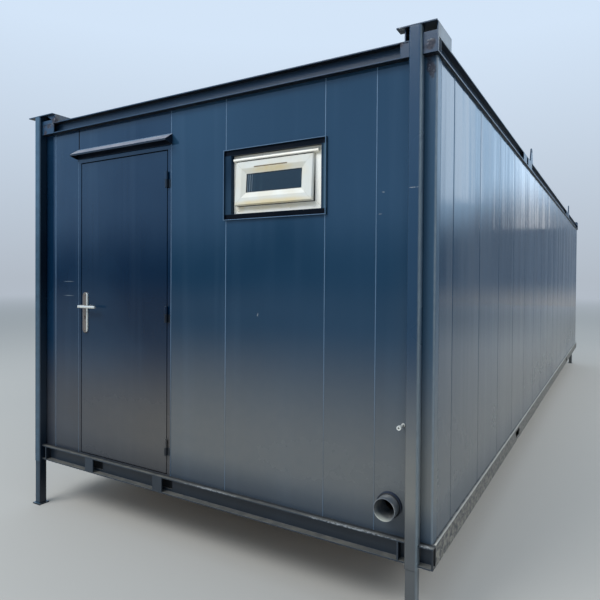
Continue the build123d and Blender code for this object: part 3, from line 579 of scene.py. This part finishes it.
def panelled(start, end, joints, seed, place):
    """
    A wall of sheet panels side by side, as one closed solid. Each panel stands proud of the wall's face by
    its own belly times one less the square of the distance from its middle, faded out at its top and foot,
    and more or less of it in a slow wave up its height. Its edges are rounded over by a quarter circle into
    the joints, which are flat grooves. place turns a distance along the wall, a height and how proud the
    surface is into X, Y and Z.
    """
    chance = np.random.default_rng(seed)
    fold, groove_half = 0.003, 0.0022
    middle_heights = np.linspace(base_top + 0.08, wall_top - 0.08, 13)
    heights = np.concatenate(((base_top, base_top + 0.02), middle_heights, (wall_top - 0.02, wall_top)))
    fade = np.clip(np.minimum(heights - base_top, wall_top - heights) / 0.15, 0.0, 1.0)
    fade = fade * fade * (3.0 - 2.0 * fade)
    edges = [start, *joints, end]
    columns, proud = [], []
    for left, right in zip(edges[:-1], edges[1:]):
        first = left + (joint_gap / 2 if left > start else 0.0)
        last = right - (joint_gap / 2 if right < end else 0.0)
        step = np.array((0.0, 0.0006, 0.0016, 0.003, 0.012))
        along = np.concatenate((first + step, np.linspace(first + 0.03, last - 0.03, 9), last - step[::-1]))
        distance = np.minimum(along - first, last - along)
        rounding = fold - np.sqrt(fold ** 2 - (fold - np.minimum(distance, fold)) ** 2)
        belly = chance.uniform(0.0006, 0.0021) * (1.0 - (2.0 * (along - first) / (last - first) - 1.0) ** 2)
        wave = 0.09 * np.sin(heights * chance.uniform(2.0, 5.0) + chance.uniform(0.0, 6.0))
        columns.append(along)
        proud.append(belly[:, None] * fade * (1.0 + wave) - 0.4 * rounding[:, None])
        if right < end:
            columns.append(np.array((right - groove_half, right + groove_half)))
            proud.append(np.full((2, len(heights)), -joint_depth))
    along, proud = np.concatenate(columns), np.vstack(proud)
    outer = place(along[:, None], heights[None, :], proud)
    thick = np.full((len(along), 2), -wall_thickness)
    inner = place(along[:, None], heights[None, [-1, 0]], thick)
    return solid(np.concatenate((outer, inner), axis=1))


def on_side(side):
    """Places a wall's surface on the left or right of the cabin."""
    return lambda along, height, proud: np.stack(
        np.broadcast_arrays(side * (side_face + proud), along, height), axis=-1)


def on_rear(along, height, proud):
    """Places a wall's surface on the rear end of the cabin."""
    return np.stack(np.broadcast_arrays(along, end_face + proud, height), axis=-1)


wall_wear = [
    ((0.508, -end_face, 1.466), (0.012, 0.02, 0.02)),
    ((1.253, -end_face, 2.094), (0.016, 0.02, 0.007)),
    ((1.234, -end_face, 1.988), (0.024, 0.02, 0.005)),
]
wall_paint = enamel("wall_paint", rgb(22, 50, 72), 0.10, 0.60, foot_dust_and_reflection_share=0.45, wear_spots=wall_wear,
                    lining=True)
shaded_wall_paint = enamel(
    "shaded_wall_paint", rgb(2, 28, 52), 0.12, 0.75, foot_dust_and_reflection_share=0.8, dust_and_reflection_tone=rgb(86, 80, 70), dust_and_reflection_top=1.28,
    lining=True, rubbed_and_lit_spots=[((-1.143, -end_face, z), (0.075, 0.02, 0.003)) for z in (1.64, 1.54)],
)
dress(wall_paint, "front_wall_right")
dress(shaded_wall_paint, "front_wall_left", "front_wall_over_door")
side_joints = -4.537 + panel_pitch * np.arange(16)
rear_joints = panel_pitch * np.arange(-2, 3)
for name, node, start, joints, seed, place in (
    ("right_panels", "right_wall", -end_inner, side_joints, 3, on_side(1)),
    ("left_panels", "left_wall", -end_inner, side_joints, 4, on_side(-1)),
    ("rear_panels", "rear_wall", -side_inner, rear_joints, 5, on_rear),
):
    skin = piece(name, [panelled(start, -start, joints.tolist(), seed, place)], wall_paint)
    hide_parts(node)

joint_paint = enamel("joint_paint", slate_pale, 0.35, 0.8, dust_and_reflection_tone=rgb(100, 100, 96))
trim_bottom, trim_top = 2.003, 2.405


def pointed(x, low, high, seed, proud=0.0013, half_width=0.0025):
    """
    A joint filled with mastic: a bead with a half-round face that stands proud of the wall, and whose line
    wanders by a third of a millimetre.
    """
    station_pitch = 0.05
    height = np.linspace(low, high, max(8, int((high - low) / station_pitch)))
    wander = np.random.default_rng(seed).normal(0.0, 0.0002, len(height)).cumsum() * 0.5
    path = np.stack((x + wander - wander.mean(), np.full_like(height, -end_face), height), axis=-1)
    angle = np.linspace(0.0, np.pi, 7)
    face = np.stack((half_width * np.cos(angle), -proud * np.sin(angle)), axis=-1)
    profile = np.vstack((face, ((-half_width, 0.001), (half_width, 0.001))))
    return carried(path, profile, up=(0.0, 1.0, 0.0))


frame_left, frame_right, frame_top = -1.030, -0.150, 2.497
hood_top = 2.562
front_beads = [pointed(-1.290, base_top, wall_top, 1), pointed(1.214, base_top, wall_top, 2)]
for seed, x in ((3, 0.280), (5, 0.929)):
    front_beads += [pointed(x, base_top, trim_bottom, seed), pointed(x, trim_top, wall_top, seed + 1)]
front_beads += [
    pointed(frame_right, hood_top, wall_top, 7),
    pointed(frame_left - 0.001, base_top, frame_top, 8, 0.0036),
    pointed(frame_right + 0.001, base_top, frame_top, 9, 0.0036),
]
piece("front_joint_beads", front_beads, joint_paint)


# Door: a steel-skinned leaf in a pressed steel frame, its gloss painted darker than the walls' for the
# darker
# reflection it shows: painted shade. Boots' dust and a painted reflection of the ground dull it along the
# bottom, and the lever and the lock plate's right edge are painted pale: painted highlight.
# The door's enamel is darker than the walls': painted shade for the darker reflection it shows.
shaded_door_paint = enamel("shaded_door_paint", rgb(2, 27, 50), 0.15, 0.72, foot_dust_and_reflection_share=0.8, dust_and_reflection_tone=rgb(96, 91, 82),
                    dust_and_reflection_top=1.28)
dress(shaded_door_paint, "door_leaf", "leaf_hinges")
dress(shaded_wall_paint, "door_frame")
dress(frame_paint, "frame_hinges")


def framed(x0, x1, z0, z1, y, profile):
    """
    A bar round an upright rectangle, mitred at its four corners. Each point of the profile says how far
    inside the rectangle and how far in front of y it lies.
    """
    inward, forward = np.asarray(profile, dtype=float).T
    corner = np.array(((x0, z0, 1, 1), (x1, z0, -1, 1), (x1, z1, -1, -1), (x0, z1, 1, -1)), dtype=float)
    x, z, right, up = corner.T[:, :, None]
    depth = np.broadcast_to(y - forward, (4, len(inward)))
    return solid(np.stack((x + right * inward, depth, z + up * inward), axis=-1), loop=True)


seal_left, seal_right, seal_foot, seal_head, stop_face = -1.004, -0.176, 0.439, 2.467, -4.791
seal_profile = ((0.0, 0.0), (0.0, 0.0034), (0.004, 0.004), (0.010, 0.004), (0.015, 0.0028), (0.0158, 0.0))
seal_blue = Finish("seal_overspray")
sprayed = seal_blue.spread(seal_blue.noise(30.0, 4.0))
seal_blue.set(
    Base_Color=seal_blue.mix(sprayed, rgb(10, 20, 32), rgb(22, 38, 54)),
    Roughness=seal_blue.spread(seal_blue.noise(60.0), 0.4, 0.6),
    Normal=seal_blue.bump(seal_blue.noise(200.0), 0.0001),
)
door_seal = framed(seal_left, seal_right, seal_foot, seal_head, stop_face, seal_profile)
piece("door_seal", [door_seal], seal_blue)
# The open joint at the left of the door frame is a black bead: painted shade in the gap.
gap_shade_black = mottled("gap_shade_black", rgb(2, 4, 10), rgb(10, 14, 22), 50.0, 90.0, 0.8, 0.95,
                    Specular_IOR_Level=0.1)
open_joint = [pointed(frame_left, hood_top, wall_top, 10, 0.0010, 0.005),
              pointed(frame_left, 2.480, frame_top, 11, 0.0040, 0.004)]
piece("open_joint", open_joint, gap_shade_black)

satin = Finish("handle_satin", Metallic=0.45)
satin_tone = satin.mix(satin.noise(40.0), rgb(108, 100, 94), rgb(124, 116, 110))
# The lock plate's right edge and the lever in front of it are painted pale: painted highlight.
painted_highlight = satin.most(satin.ease(satin.axis(0), -0.940, -0.935), satin.ease(satin.axis(1), -4.860, -4.868))
satin.set(
    Base_Color=satin.mix(painted_highlight, satin_tone, rgb(214, 214, 206)),
    Roughness=satin.spread(satin.noise(160.0, stretch=(1.0, 1.0, 0.1)), 0.22, 0.36),
    Normal=satin.rounded(0.008),
)
dress(satin, "handle_plates", "door_lever")
spindle_x, key_z, screw_zs = -0.951, 1.395, (1.302, 1.550)
plate_faces = ((-4.849, -1.0), (-4.787, 1.0))
dome = ((0.0042, -0.001), (0.0042, 0.0004), (0.0034, 0.0013), (0.0016, 0.0019))
plug_profile = ((0.0078, -0.0085), (0.0078, -0.0056), (0.0070, -0.0050))
fixings = []
for y, out in plate_faces:
    fixings += [turned((spindle_x, y, z), (0.0, out, 0.0), dome, sides=12) for z in screw_zs]
    fixings.append(turned((spindle_x, y, key_z), (0.0, out, 0.0), plug_profile, sides=18))
piece("lock_and_screws", fixings, satin, body="door")


# Rain hood: one folded strip of the same steel over the door head, with mastic run along its back. Its
# sloping top is painted pale for the sky light on it, and its front lip and underside dark: painted light
# and painted shade.
hood_paint = Finish("hood_paint", Specular_IOR_Level=0.35)
hood_streaks = hood_paint.noise(7.0, 5.0, stretch=(1.0, 3.0, 3.0))
hood_slope = hood_paint.axis(2, of=hood_paint.facing)
# The sloping top is painted pale: painted light from the sky. Faces that turn forward, the front lip, are
# painted dark, and undersides near black: painted shade.
hood_tone = hood_paint.mix(hood_paint.spread(hood_streaks), rgb(126, 132, 144), rgb(148, 150, 158))
hood_tone = hood_paint.mix(hood_paint.ease(hood_slope, 0.45, 0.15), hood_tone, rgb(8, 18, 32))
hood_paint.set(
    Base_Color=hood_paint.mix(hood_paint.ease(hood_slope, -0.1, -0.4), hood_tone, shade_and_grime),
    Roughness=hood_paint.spread(hood_streaks, 0.3, 0.45),
    Normal=hood_paint.rounded(0.002),
)
dress(hood_paint, "rain_hood")
hood_left, hood_right = -1.050, -0.143
hood_mastic = weld((hood_left, -end_face, hood_top), (hood_right, -end_face, hood_top), 0.0028, 70)
piece("hood_mastic", [hood_mastic], joint_paint)


# Window: a folded steel surround, then a white plastic frame and a small top-hung sash,
# left ajar. It is yellowed, with stains where water has sat on its rails.
middle_x, middle_z = 0.613, 2.204
trim_paint = Finish("trim_paint", Specular_IOR_Level=0.08)
streaky = trim_paint.noise(9.0, 4.0, stretch=(1.0, 1.0, 0.3))
sill = trim_paint.math("ABSOLUTE", trim_paint.axis(2, of=trim_paint.facing))
shaded = trim_paint.times(
    trim_paint.most(trim_paint.ease(trim_paint.offset(2, middle_z), 0.165, 0.171), sill),
    trim_paint.ease(trim_paint.axis(1), -4.8425, -4.8405),
)
tray = trim_paint.mix(trim_paint.spread(streaky), rgb(20, 40, 58), rgb(34, 56, 74))
# The right side of the surround is painted lighter teal: painted light. The top, bottom and level faces
# behind the rim are painted near black: painted shade.
tray = trim_paint.mix(trim_paint.ease(trim_paint.axis(0), 0.915, 0.928), tray, rgb(72, 98, 112))
tray = trim_paint.mix(shaded, tray, rgb(1, 4, 12))
rim = trim_paint.ease(trim_paint.axis(1), -4.8485, -4.8500)
trim_paint.set(
    Base_Color=trim_paint.mix(rim, tray, rgb(84, 108, 132)),
    Roughness=trim_paint.spread(streaky, 0.3, 0.42),
    Normal=trim_paint.rounded(0.0012),
)
dress(trim_paint, "window_trim")

sash_x, sash_z, sash_half_width, sash_half_height = 0.5995, 2.2075, 0.2555, 0.1265
window_front = -4.811
sash_front = window_front - 0.018
glass_half_width, glass_half_height = 0.1825, 0.0535
sash_ajar = math.radians(3.6)


def hung(points):
    """Turns points about the sash's top back edge, by the angle that it stands open."""
    points = np.asarray(points, dtype=float)
    back, drop = points[..., 1] - window_front, points[..., 2] - (sash_z + sash_half_height)
    opened = points.copy()
    opened[..., 1] = window_front + back * math.cos(sash_ajar) + drop * math.sin(sash_ajar)
    opened[..., 2] = sash_z + sash_half_height - back * math.sin(sash_ajar) + drop * math.cos(sash_ajar)
    return opened


def hung_solid(made):
    """Opens a finished solid with the sash."""
    points, quads, triangles = made
    return hung(points), quads, triangles


def plastic(name, fresh, yellow, stain, stains, strength):
    """White plastic that has yellowed in clouds, with water stains near the places given."""
    finish = Finish(name, Specular_IOR_Level=0.35)
    aged = finish.noise(8.0, 5.0)
    patchy = finish.ease(finish.noise(25.0, 4.0), 0.2, 0.75, 0.6 * strength, strength)
    tide = finish.times(finish.near_any(stains), patchy)
    finish.set(
        Base_Color=finish.mix(tide, finish.mix(finish.ease(aged, 0.35, 0.8), fresh, yellow), stain),
        Roughness=finish.spread(aged, 0.34, 0.5),
        Normal=finish.rounded(0.002),
    )
    return finish


white = plastic("frame_plastic", rgb(246, 244, 234), rgb(244, 238, 220), rgb(238, 222, 182), [
    ((0.60, window_front, 2.066), (0.36, 0.03, 0.018)),
    ((0.37, -4.82, 2.07), (0.05, 0.05, 0.03)),
], 0.8)
# The sash's copy of the white plastic is greyer than the frame's: painted shade, for the lamp light its
# tilted face catches.
sash_white_shaded = plastic("sash_plastic_shaded", rgb(208, 209, 201), rgb(208, 203, 185), rgb(208, 190, 144), [
    ((0.590, -4.836, 2.278), (0.22, 0.05, 0.032)),
    ((0.60, -4.85, 2.092), (0.40, 0.06, 0.026)),
], 1.0)
dress(white, "window_frame")
dress(sash_white_shaded, "window_sash")

plug_shape = ((0.0058, -0.001), (0.0058, 0.0006), (0.0048, 0.0015), (0.0020, 0.0019))
plug_xs, plug_z = (0.498, 0.700, 0.355, 0.853), 2.058
plugs = [turned((x, window_front, plug_z), (0.0, -1.0, 0.0), plug_shape, sides=14) for x in plug_xs]
piece("frame_plugs", plugs, white)

seams = []
seam_profile = ((-0.0005, -0.001), (0.0005, -0.001), (0.0004, 0.00022), (-0.0004, 0.00022))
sash_mitre = (
    (sash_half_width - 0.006, sash_front, sash_half_height - 0.006),
    (glass_half_width + 0.030, sash_front, glass_half_height + 0.030),
    (glass_half_width, sash_front + 0.010, glass_half_height),
)
frame_mitre = ((0.294, window_front, 0.167), (0.235, window_front, 0.108))
for sx in (-1, 1):
    for sz in (-1, 1):
        sash_seam = [(sash_x + sx * x, y, sash_z + sz * z) for x, y, z in sash_mitre]
        frame_seam = [(middle_x + sx * x, y, middle_z + sz * z) for x, y, z in frame_mitre]
        seams += [hung_solid(carried(sash_seam, seam_profile, up=(0.0, -1.0, 0.0))),
                  carried(frame_seam, seam_profile, up=(0.0, -1.0, 0.0))]
seam_grey = mottled("seam_shade", rgb(150, 146, 130), rgb(178, 172, 154), 30.0, 60.0, 0.4, 0.6)
piece("mitre_seams", seams, seam_grey)

rubber = Finish("seal_rubber")
dusting = rubber.noise(22.0, 4.0)
rubber.set(
    Base_Color=rubber.mix(rubber.ease(dusting, 0.4, 0.8), rgb(10, 11, 12), rgb(30, 30, 30)),
    Roughness=rubber.spread(dusting, 0.55, 0.75),
    Normal=rubber.bump(rubber.noise(200.0), 0.0001),
)
gasket_profile = ((0.0, 0.0), (0.0, 0.0022), (0.0015, 0.0028), (0.0032, 0.0010), (0.0032, 0.0))
gasket = framed(sash_x - glass_half_width, sash_x + glass_half_width, sash_z - glass_half_height,
                sash_z + glass_half_height, sash_front + 0.012, gasket_profile)
sash_seal = framed(sash_x - sash_half_width, sash_x + sash_half_width, sash_z - sash_half_height,
                   sash_z + sash_half_height - 0.004, window_front,
                   ((-0.0003, -0.001), (-0.0003, 0.0012), (0.015, 0.0012), (0.015, -0.001)))
# The black strip under the drip bar stands in for the shadow in the gap above the sash: painted shade.
drip_left, drip_right, drip_foot, drip_head = 0.347, 0.852, 2.3325, 2.3355
drip_gap_shade = solid([
    [(x, y, z) for x, z in ((drip_left, drip_foot), (drip_left, drip_head), (drip_right, drip_head),
                            (drip_right, drip_foot))]
    for y in (sash_front - 0.0006, sash_front + 0.0024)
])
piece("sash_seals_and_drip_shade", [hung_solid(gasket), sash_seal, drip_gap_shade], rubber)

vent_profile = ((0.472, 2.2915), (0.692, 2.2915), (0.692, 2.2985), (0.472, 2.2985))
vent_rings = [[(x, sash_front + depth, z) for x, z in vent_profile] for depth in (0.002, 0.0119)]
# The brown block in the vent slot is the stain in it and painted shade for the slot's depth.
vent_stain_and_shade = Finish("vent_stain_and_shade_block")
vent_stain_and_shade.set(
    Base_Color=vent_stain_and_shade.mix(vent_stain_and_shade.noise(60.0, 4.0), rgb(104, 88, 62), rgb(142, 124, 90)),
    Roughness=vent_stain_and_shade.spread(vent_stain_and_shade.noise(60.0), 0.5, 0.7),
)
piece("vent_slot", [hung_solid(solid(vent_rings))], vent_stain_and_shade)

pane = Finish("window_glass", Transmission_Weight=0.35, IOR=1.5)
ripple = pane.noise(130.0, 2.0)
streak = pane.noise(9.0, 4.0, stretch=(6.0, 1.0, 0.6))
# The glass's own colour is dark teal: painted shade for the dim room behind it. The spacer bars of the
# double glazing show lighter at the left.
shaded_room_behind_glass = pane.mix(pane.ease(streak, 0.45, 0.75), rgb(12, 34, 42), rgb(32, 52, 58))
for spacer_x, spacer_half in ((0.427, 0.0035), (0.441, 0.005), (0.455, 0.003)):
    spacer = pane.ease(pane.offset(0, spacer_x), spacer_half, 0.3 * spacer_half, 0.0, 0.5)
    shaded_room_behind_glass = pane.mix(spacer, shaded_room_behind_glass, rgb(150, 160, 162))
pane.set(
    Base_Color=shaded_room_behind_glass,
    Roughness=pane.spread(ripple, 0.10, 0.24),
    Normal=pane.bump(ripple, 0.0002),
)
dress(pane, "window_glass")


# Pipe stubs: a dark grey soil pipe in a collar at the right of the end wall, and a
# thin pale overflow pipe above it.
soil_x, soil_z, soil_radius = 1.297, 0.578, 0.055
collar_back, collar_front = -4.857, -4.855
pipe_grey = Finish("pipe_plastic")
scuff = pipe_grey.noise(25.0, 5.0)
pipe_tone = pipe_grey.mix(pipe_grey.ease(scuff, 0.35, 0.75), rgb(82, 88, 94), rgb(126, 126, 122))
lit_inside = pipe_grey.near((1.275, -4.91, 0.53), (0.08, 0.05, 0.035))
pipe_tone = pipe_grey.mix(lit_inside, pipe_tone, rgb(176, 178, 168))
axis_point = pipe_grey.nodes.new("ShaderNodeCombineXYZ")
for number, value in enumerate((soil_x, pipe_grey.axis(1), soil_z)):
    pipe_grey.feed(axis_point.inputs[number], value)
from_axis = pipe_grey.vector("DISTANCE", pipe_grey.place, axis_point.outputs[0])
collar = pipe_grey.times(
    pipe_grey.ease(from_axis, soil_radius + 0.0002, soil_radius + 0.0006),
    pipe_grey.ease(pipe_grey.axis(1), collar_back, collar_front),
)
pipe_grey.set(
    Base_Color=pipe_grey.mix(collar, pipe_tone, rgb(30, 40, 58)),
    Roughness=pipe_grey.spread(scuff, 0.38, 0.58),
    Normal=pipe_grey.rounded(0.001),
)
dress(pipe_grey, "soil_pipe")


def hoop(centre, radius, profile, sides=40):
    """
    A ring that faces the front. Each point of the profile says how far outside the radius and how far in
    front of the centre it lies, and the profile is carried round the circle.
    """
    outward, forward = np.asarray(profile, dtype=float).T
    angle = np.linspace(0.0, 2.0 * np.pi, sides, endpoint=False)[:, None]
    reach, depth = radius + outward, np.broadcast_to(centre[1] - forward, (sides, len(outward)))
    rings = (centre[0] + reach * np.cos(angle), depth, centre[2] + reach * np.sin(angle))
    return solid(np.stack(rings, axis=-1), loop=True)


pipe_seal = ((-0.0004, 0.0), (-0.0004, 0.0040), (0.0020, 0.0052), (0.0050, 0.0030), (0.0060, 0.0))
seal_hoop = hoop((soil_x, collar_front, soil_z), soil_radius, pipe_seal)
piece("soil_pipe_seal", [seal_hoop], rubber)

pipe_pale = mottled("overflow_plastic", rgb(186, 188, 182), rgb(214, 214, 208), 50.0, 70.0, 0.35, 0.5)
pipe_pale.set(Normal=pipe_pale.rounded(0.0006))
dress(pipe_pale, "overflow_pipe")


# Jack legs: square sleeves welded up the corners of both ends, each with an inner leg
# and a foot plate, and over each sleeve a folded cap that takes a foot from above.
# The right legs' outer side faces have a painted highlight up their height.
leg_paint = enamel(
    "leg_paint", slate_blue, 0.24, 0.85, foot_dust_and_reflection_share=0.7, edge=0.006,
    wear_spots=[((1.421, -4.897, 2.094), (0.05, 0.02, 0.004)), ((1.421, -4.897, 0.05), (0.06, 0.06, 0.20))],
    rubbed_and_lit_spots=[((1.4525, -4.897, 1.6), (0.010, 0.060, 9.0))], rubbed_and_lit_tone=rgb(118, 130, 136),
)
# The left legs are a darker copy of the leg paint, for shade, and their front faces are lightened: painted
# light.
shaded_leg_paint = enamel(
    "shaded_leg_paint", rgb(4, 14, 26), 0.2, 0.15,
    rubbed_and_lit_spots=[((-1.43, -4.898, 1.55), (0.08, 0.008, 9.0))], rubbed_and_lit_tone=rgb(58, 84, 102),
)
for side, finish in (("right", leg_paint), ("left", shaded_leg_paint)):
    for end in ("front", "rear"):
        dress(finish, f"jack_sleeve_{end}_{side}", f"jack_leg_{end}_{side}")
dress(top_paint, "stacking_caps")


# Lifting lugs: eye plates burnt out of thick steel and welded to the side rails, a third
# and three quarters of the way along, rubbed bare on one face where shackles have swung.
dress(top_paint, "lifting_lugs")
lug_ys = {-1: -1.767, 1: 2.683}
lug_half_length = 0.078
lug_welds = []
for seed, (sx, sy) in enumerate(corner_signs):
    front_y, rear_y = lug_ys[sy] - lug_half_length, lug_ys[sy] + lug_half_length
    for x in (sx * 1.516, sx * 1.504):
        lug_welds.append(weld((x, front_y, rail_top), (x, rear_y, rail_top), 0.004, 80 + seed))
piece("lug_welds", lug_welds, top_paint)


# The studio: a plain pale floor that runs out into the pale surround, under a sky that
# is a little bluer overhead.
horizon = rgb(178, 187, 198)
overhead = rgb(212, 229, 248)
surround_light = 1.0
floor_half = 90.0
floor_corners = [(floor_half * x, floor_half * y, 0.0) for x, y in ((-1, -1), (1, -1), (1, 1), (-1, 1))]
floor_mesh = bpy.data.meshes.new("studio_floor")
floor_mesh.from_pydata(floor_corners, [], [(0, 1, 2, 3)])
studio_floor = bpy.data.objects.new("studio_floor", floor_mesh)
bpy.context.scene.collection.objects.link(studio_floor)
floor_face = Finish("floor_face", Specular_IOR_Level=0.0, Roughness=0.9)
away = floor_face.ease(floor_face.vector("LENGTH", floor_face.place), 12.0, 55.0)
floor_face.set(
    Base_Color=floor_face.mix(away, rgb(178, 176, 170), rgb(0, 0, 0)),
    Emission_Color=floor_face.mix(away, rgb(0, 0, 0), horizon),
    Emission_Strength=surround_light,
)
floor_mesh.materials.append(floor_face.material)

world = bpy.data.worlds.new("studio")
bpy.context.scene.world = world
world.use_nodes = True
sky_nodes, sky_links = world.node_tree.nodes, world.node_tree.links
direction = sky_nodes.new("ShaderNodeTexCoord").outputs["Generated"]
rise = sky_nodes.new("ShaderNodeSeparateXYZ")
sky_links.new(direction, rise.inputs[0])
ramp = sky_nodes.new("ShaderNodeMapRange")
sky_links.new(rise.outputs[2], ramp.inputs["Value"])
ramp.inputs["From Max"].default_value = 0.4
sky = sky_nodes.new("ShaderNodeMix")
sky.data_type = "RGBA"
sky_links.new(ramp.outputs[0], sky.inputs[0])
sky.inputs[6].default_value = horizon
sky.inputs[7].default_value = overhead
sky_links.new(sky.outputs[2], sky_nodes["Background"].inputs["Color"])
sky_nodes["Background"].inputs["Strength"].default_value = surround_light


# A round screen for the gloss to mirror, which the camera doesn't see: pale at its foot,
# dark slats up to about 6 m, and pale blue sky above them. The slats draw the streaks
# that bent panels show.
screen_radius, screen_top, screen_sides = 32.0, 18.0, 96
around = np.linspace(0.0, 2.0 * np.pi, screen_sides, endpoint=False)
rim_points = screen_radius * np.stack((np.cos(around), np.sin(around)), axis=-1)
screen_points = [(x, y, z) for z in (0.0, screen_top) for x, y in rim_points.tolist()]
here = np.arange(screen_sides)
there = (here + 1) % screen_sides
screen_faces = np.stack((here, there, there + screen_sides, here + screen_sides), axis=-1).tolist()
screen_mesh = bpy.data.meshes.new("studio_screen")
screen_mesh.from_pydata(screen_points, [], screen_faces)
studio_screen = bpy.data.objects.new("studio_screen", screen_mesh)
bpy.context.scene.collection.objects.link(studio_screen)
screen_face = Finish("screen_face", Specular_IOR_Level=0.0, Base_Color=rgb(0, 0, 0))
uneven_top = screen_face.spread(screen_face.noise(0.12, stretch=(1.0, 1.0, 0.0)), -1.2, 1.2)
lower_front = screen_face.ease(screen_face.axis(1), -20.0, 20.0, 1.8, 0.0)
screen_rise = screen_face.ease(screen_face.plus(screen_face.axis(2), uneven_top, lower_front), 4.0, 8.4)
slats = screen_face.ease(screen_face.noise(1.1, 5.0, stretch=(1.0, 1.0, 0.02)), 0.36, 0.64)
facing_end = screen_face.ease(screen_face.axis(1), -10.0, -26.0)
screen_tone = screen_face.mix(slats, rgb(54, 74, 98), rgb(150, 162, 176))
screen_tone = screen_face.mix(facing_end, screen_tone, rgb(34, 54, 78))
open_sky = screen_face.mix(facing_end, rgb(178, 210, 240), rgb(150, 192, 240))
pale_foot = screen_face.ease(screen_face.axis(2), 1.8, 0.0)
screen_tone = screen_face.mix(pale_foot, screen_tone, rgb(168, 171, 174))
screen_face.set(
    Emission_Color=screen_face.mix(screen_rise, screen_tone, open_sky),
    Emission_Strength=screen_face.ease(screen_rise, 0.0, 1.0, 1.0, 1.8),
)
screen_mesh.materials.append(screen_face.material)
studio_screen.visible_camera = False
studio_screen.visible_diffuse = False
studio_screen.visible_shadow = False


# Lamps: two large soft ones light the door end and the right side from high up, and two
# tall thin ones far behind the rear end are mirrored in the side wall as pale streaks.
def softbox(name, place, target, width, height, power):
    """A rectangular lamp that faces its target, and that the camera doesn't see."""
    lamp = bpy.data.lights.new(name, "AREA")
    lamp.shape = "RECTANGLE"
    lamp.size = width
    lamp.size_y = height
    lamp.energy = power
    made = bpy.data.objects.new(name, lamp)
    aim = Vector(target) - Vector(place)
    made.matrix_world = Matrix.Translation(place) @ aim.to_track_quat("-Z", "Y").to_matrix().to_4x4()
    made.visible_camera = False
    bpy.context.scene.collection.objects.link(made)


softbox("front_lamp", (-3.5, -11.5, 9.4), (-0.3, -4.8, 1.5), 7.0, 4.0, 940.0)
softbox("side_lamp", (9.0, 2.0, 9.0), (1.5, 0.0, 1.5), 8.0, 5.0, 700.0)
softbox("tall_lamp_near", (10.6, 28.8, 11.5), (1.5, -3.0, 1.5), 2.6, 15.0, 90.0)
softbox("tall_lamp_far", (5.7, 29.6, 11.0), (1.5, 0.0, 1.5), 1.4, 13.0, 50.0)

bpy.context.scene.view_settings.view_transform = "Standard"
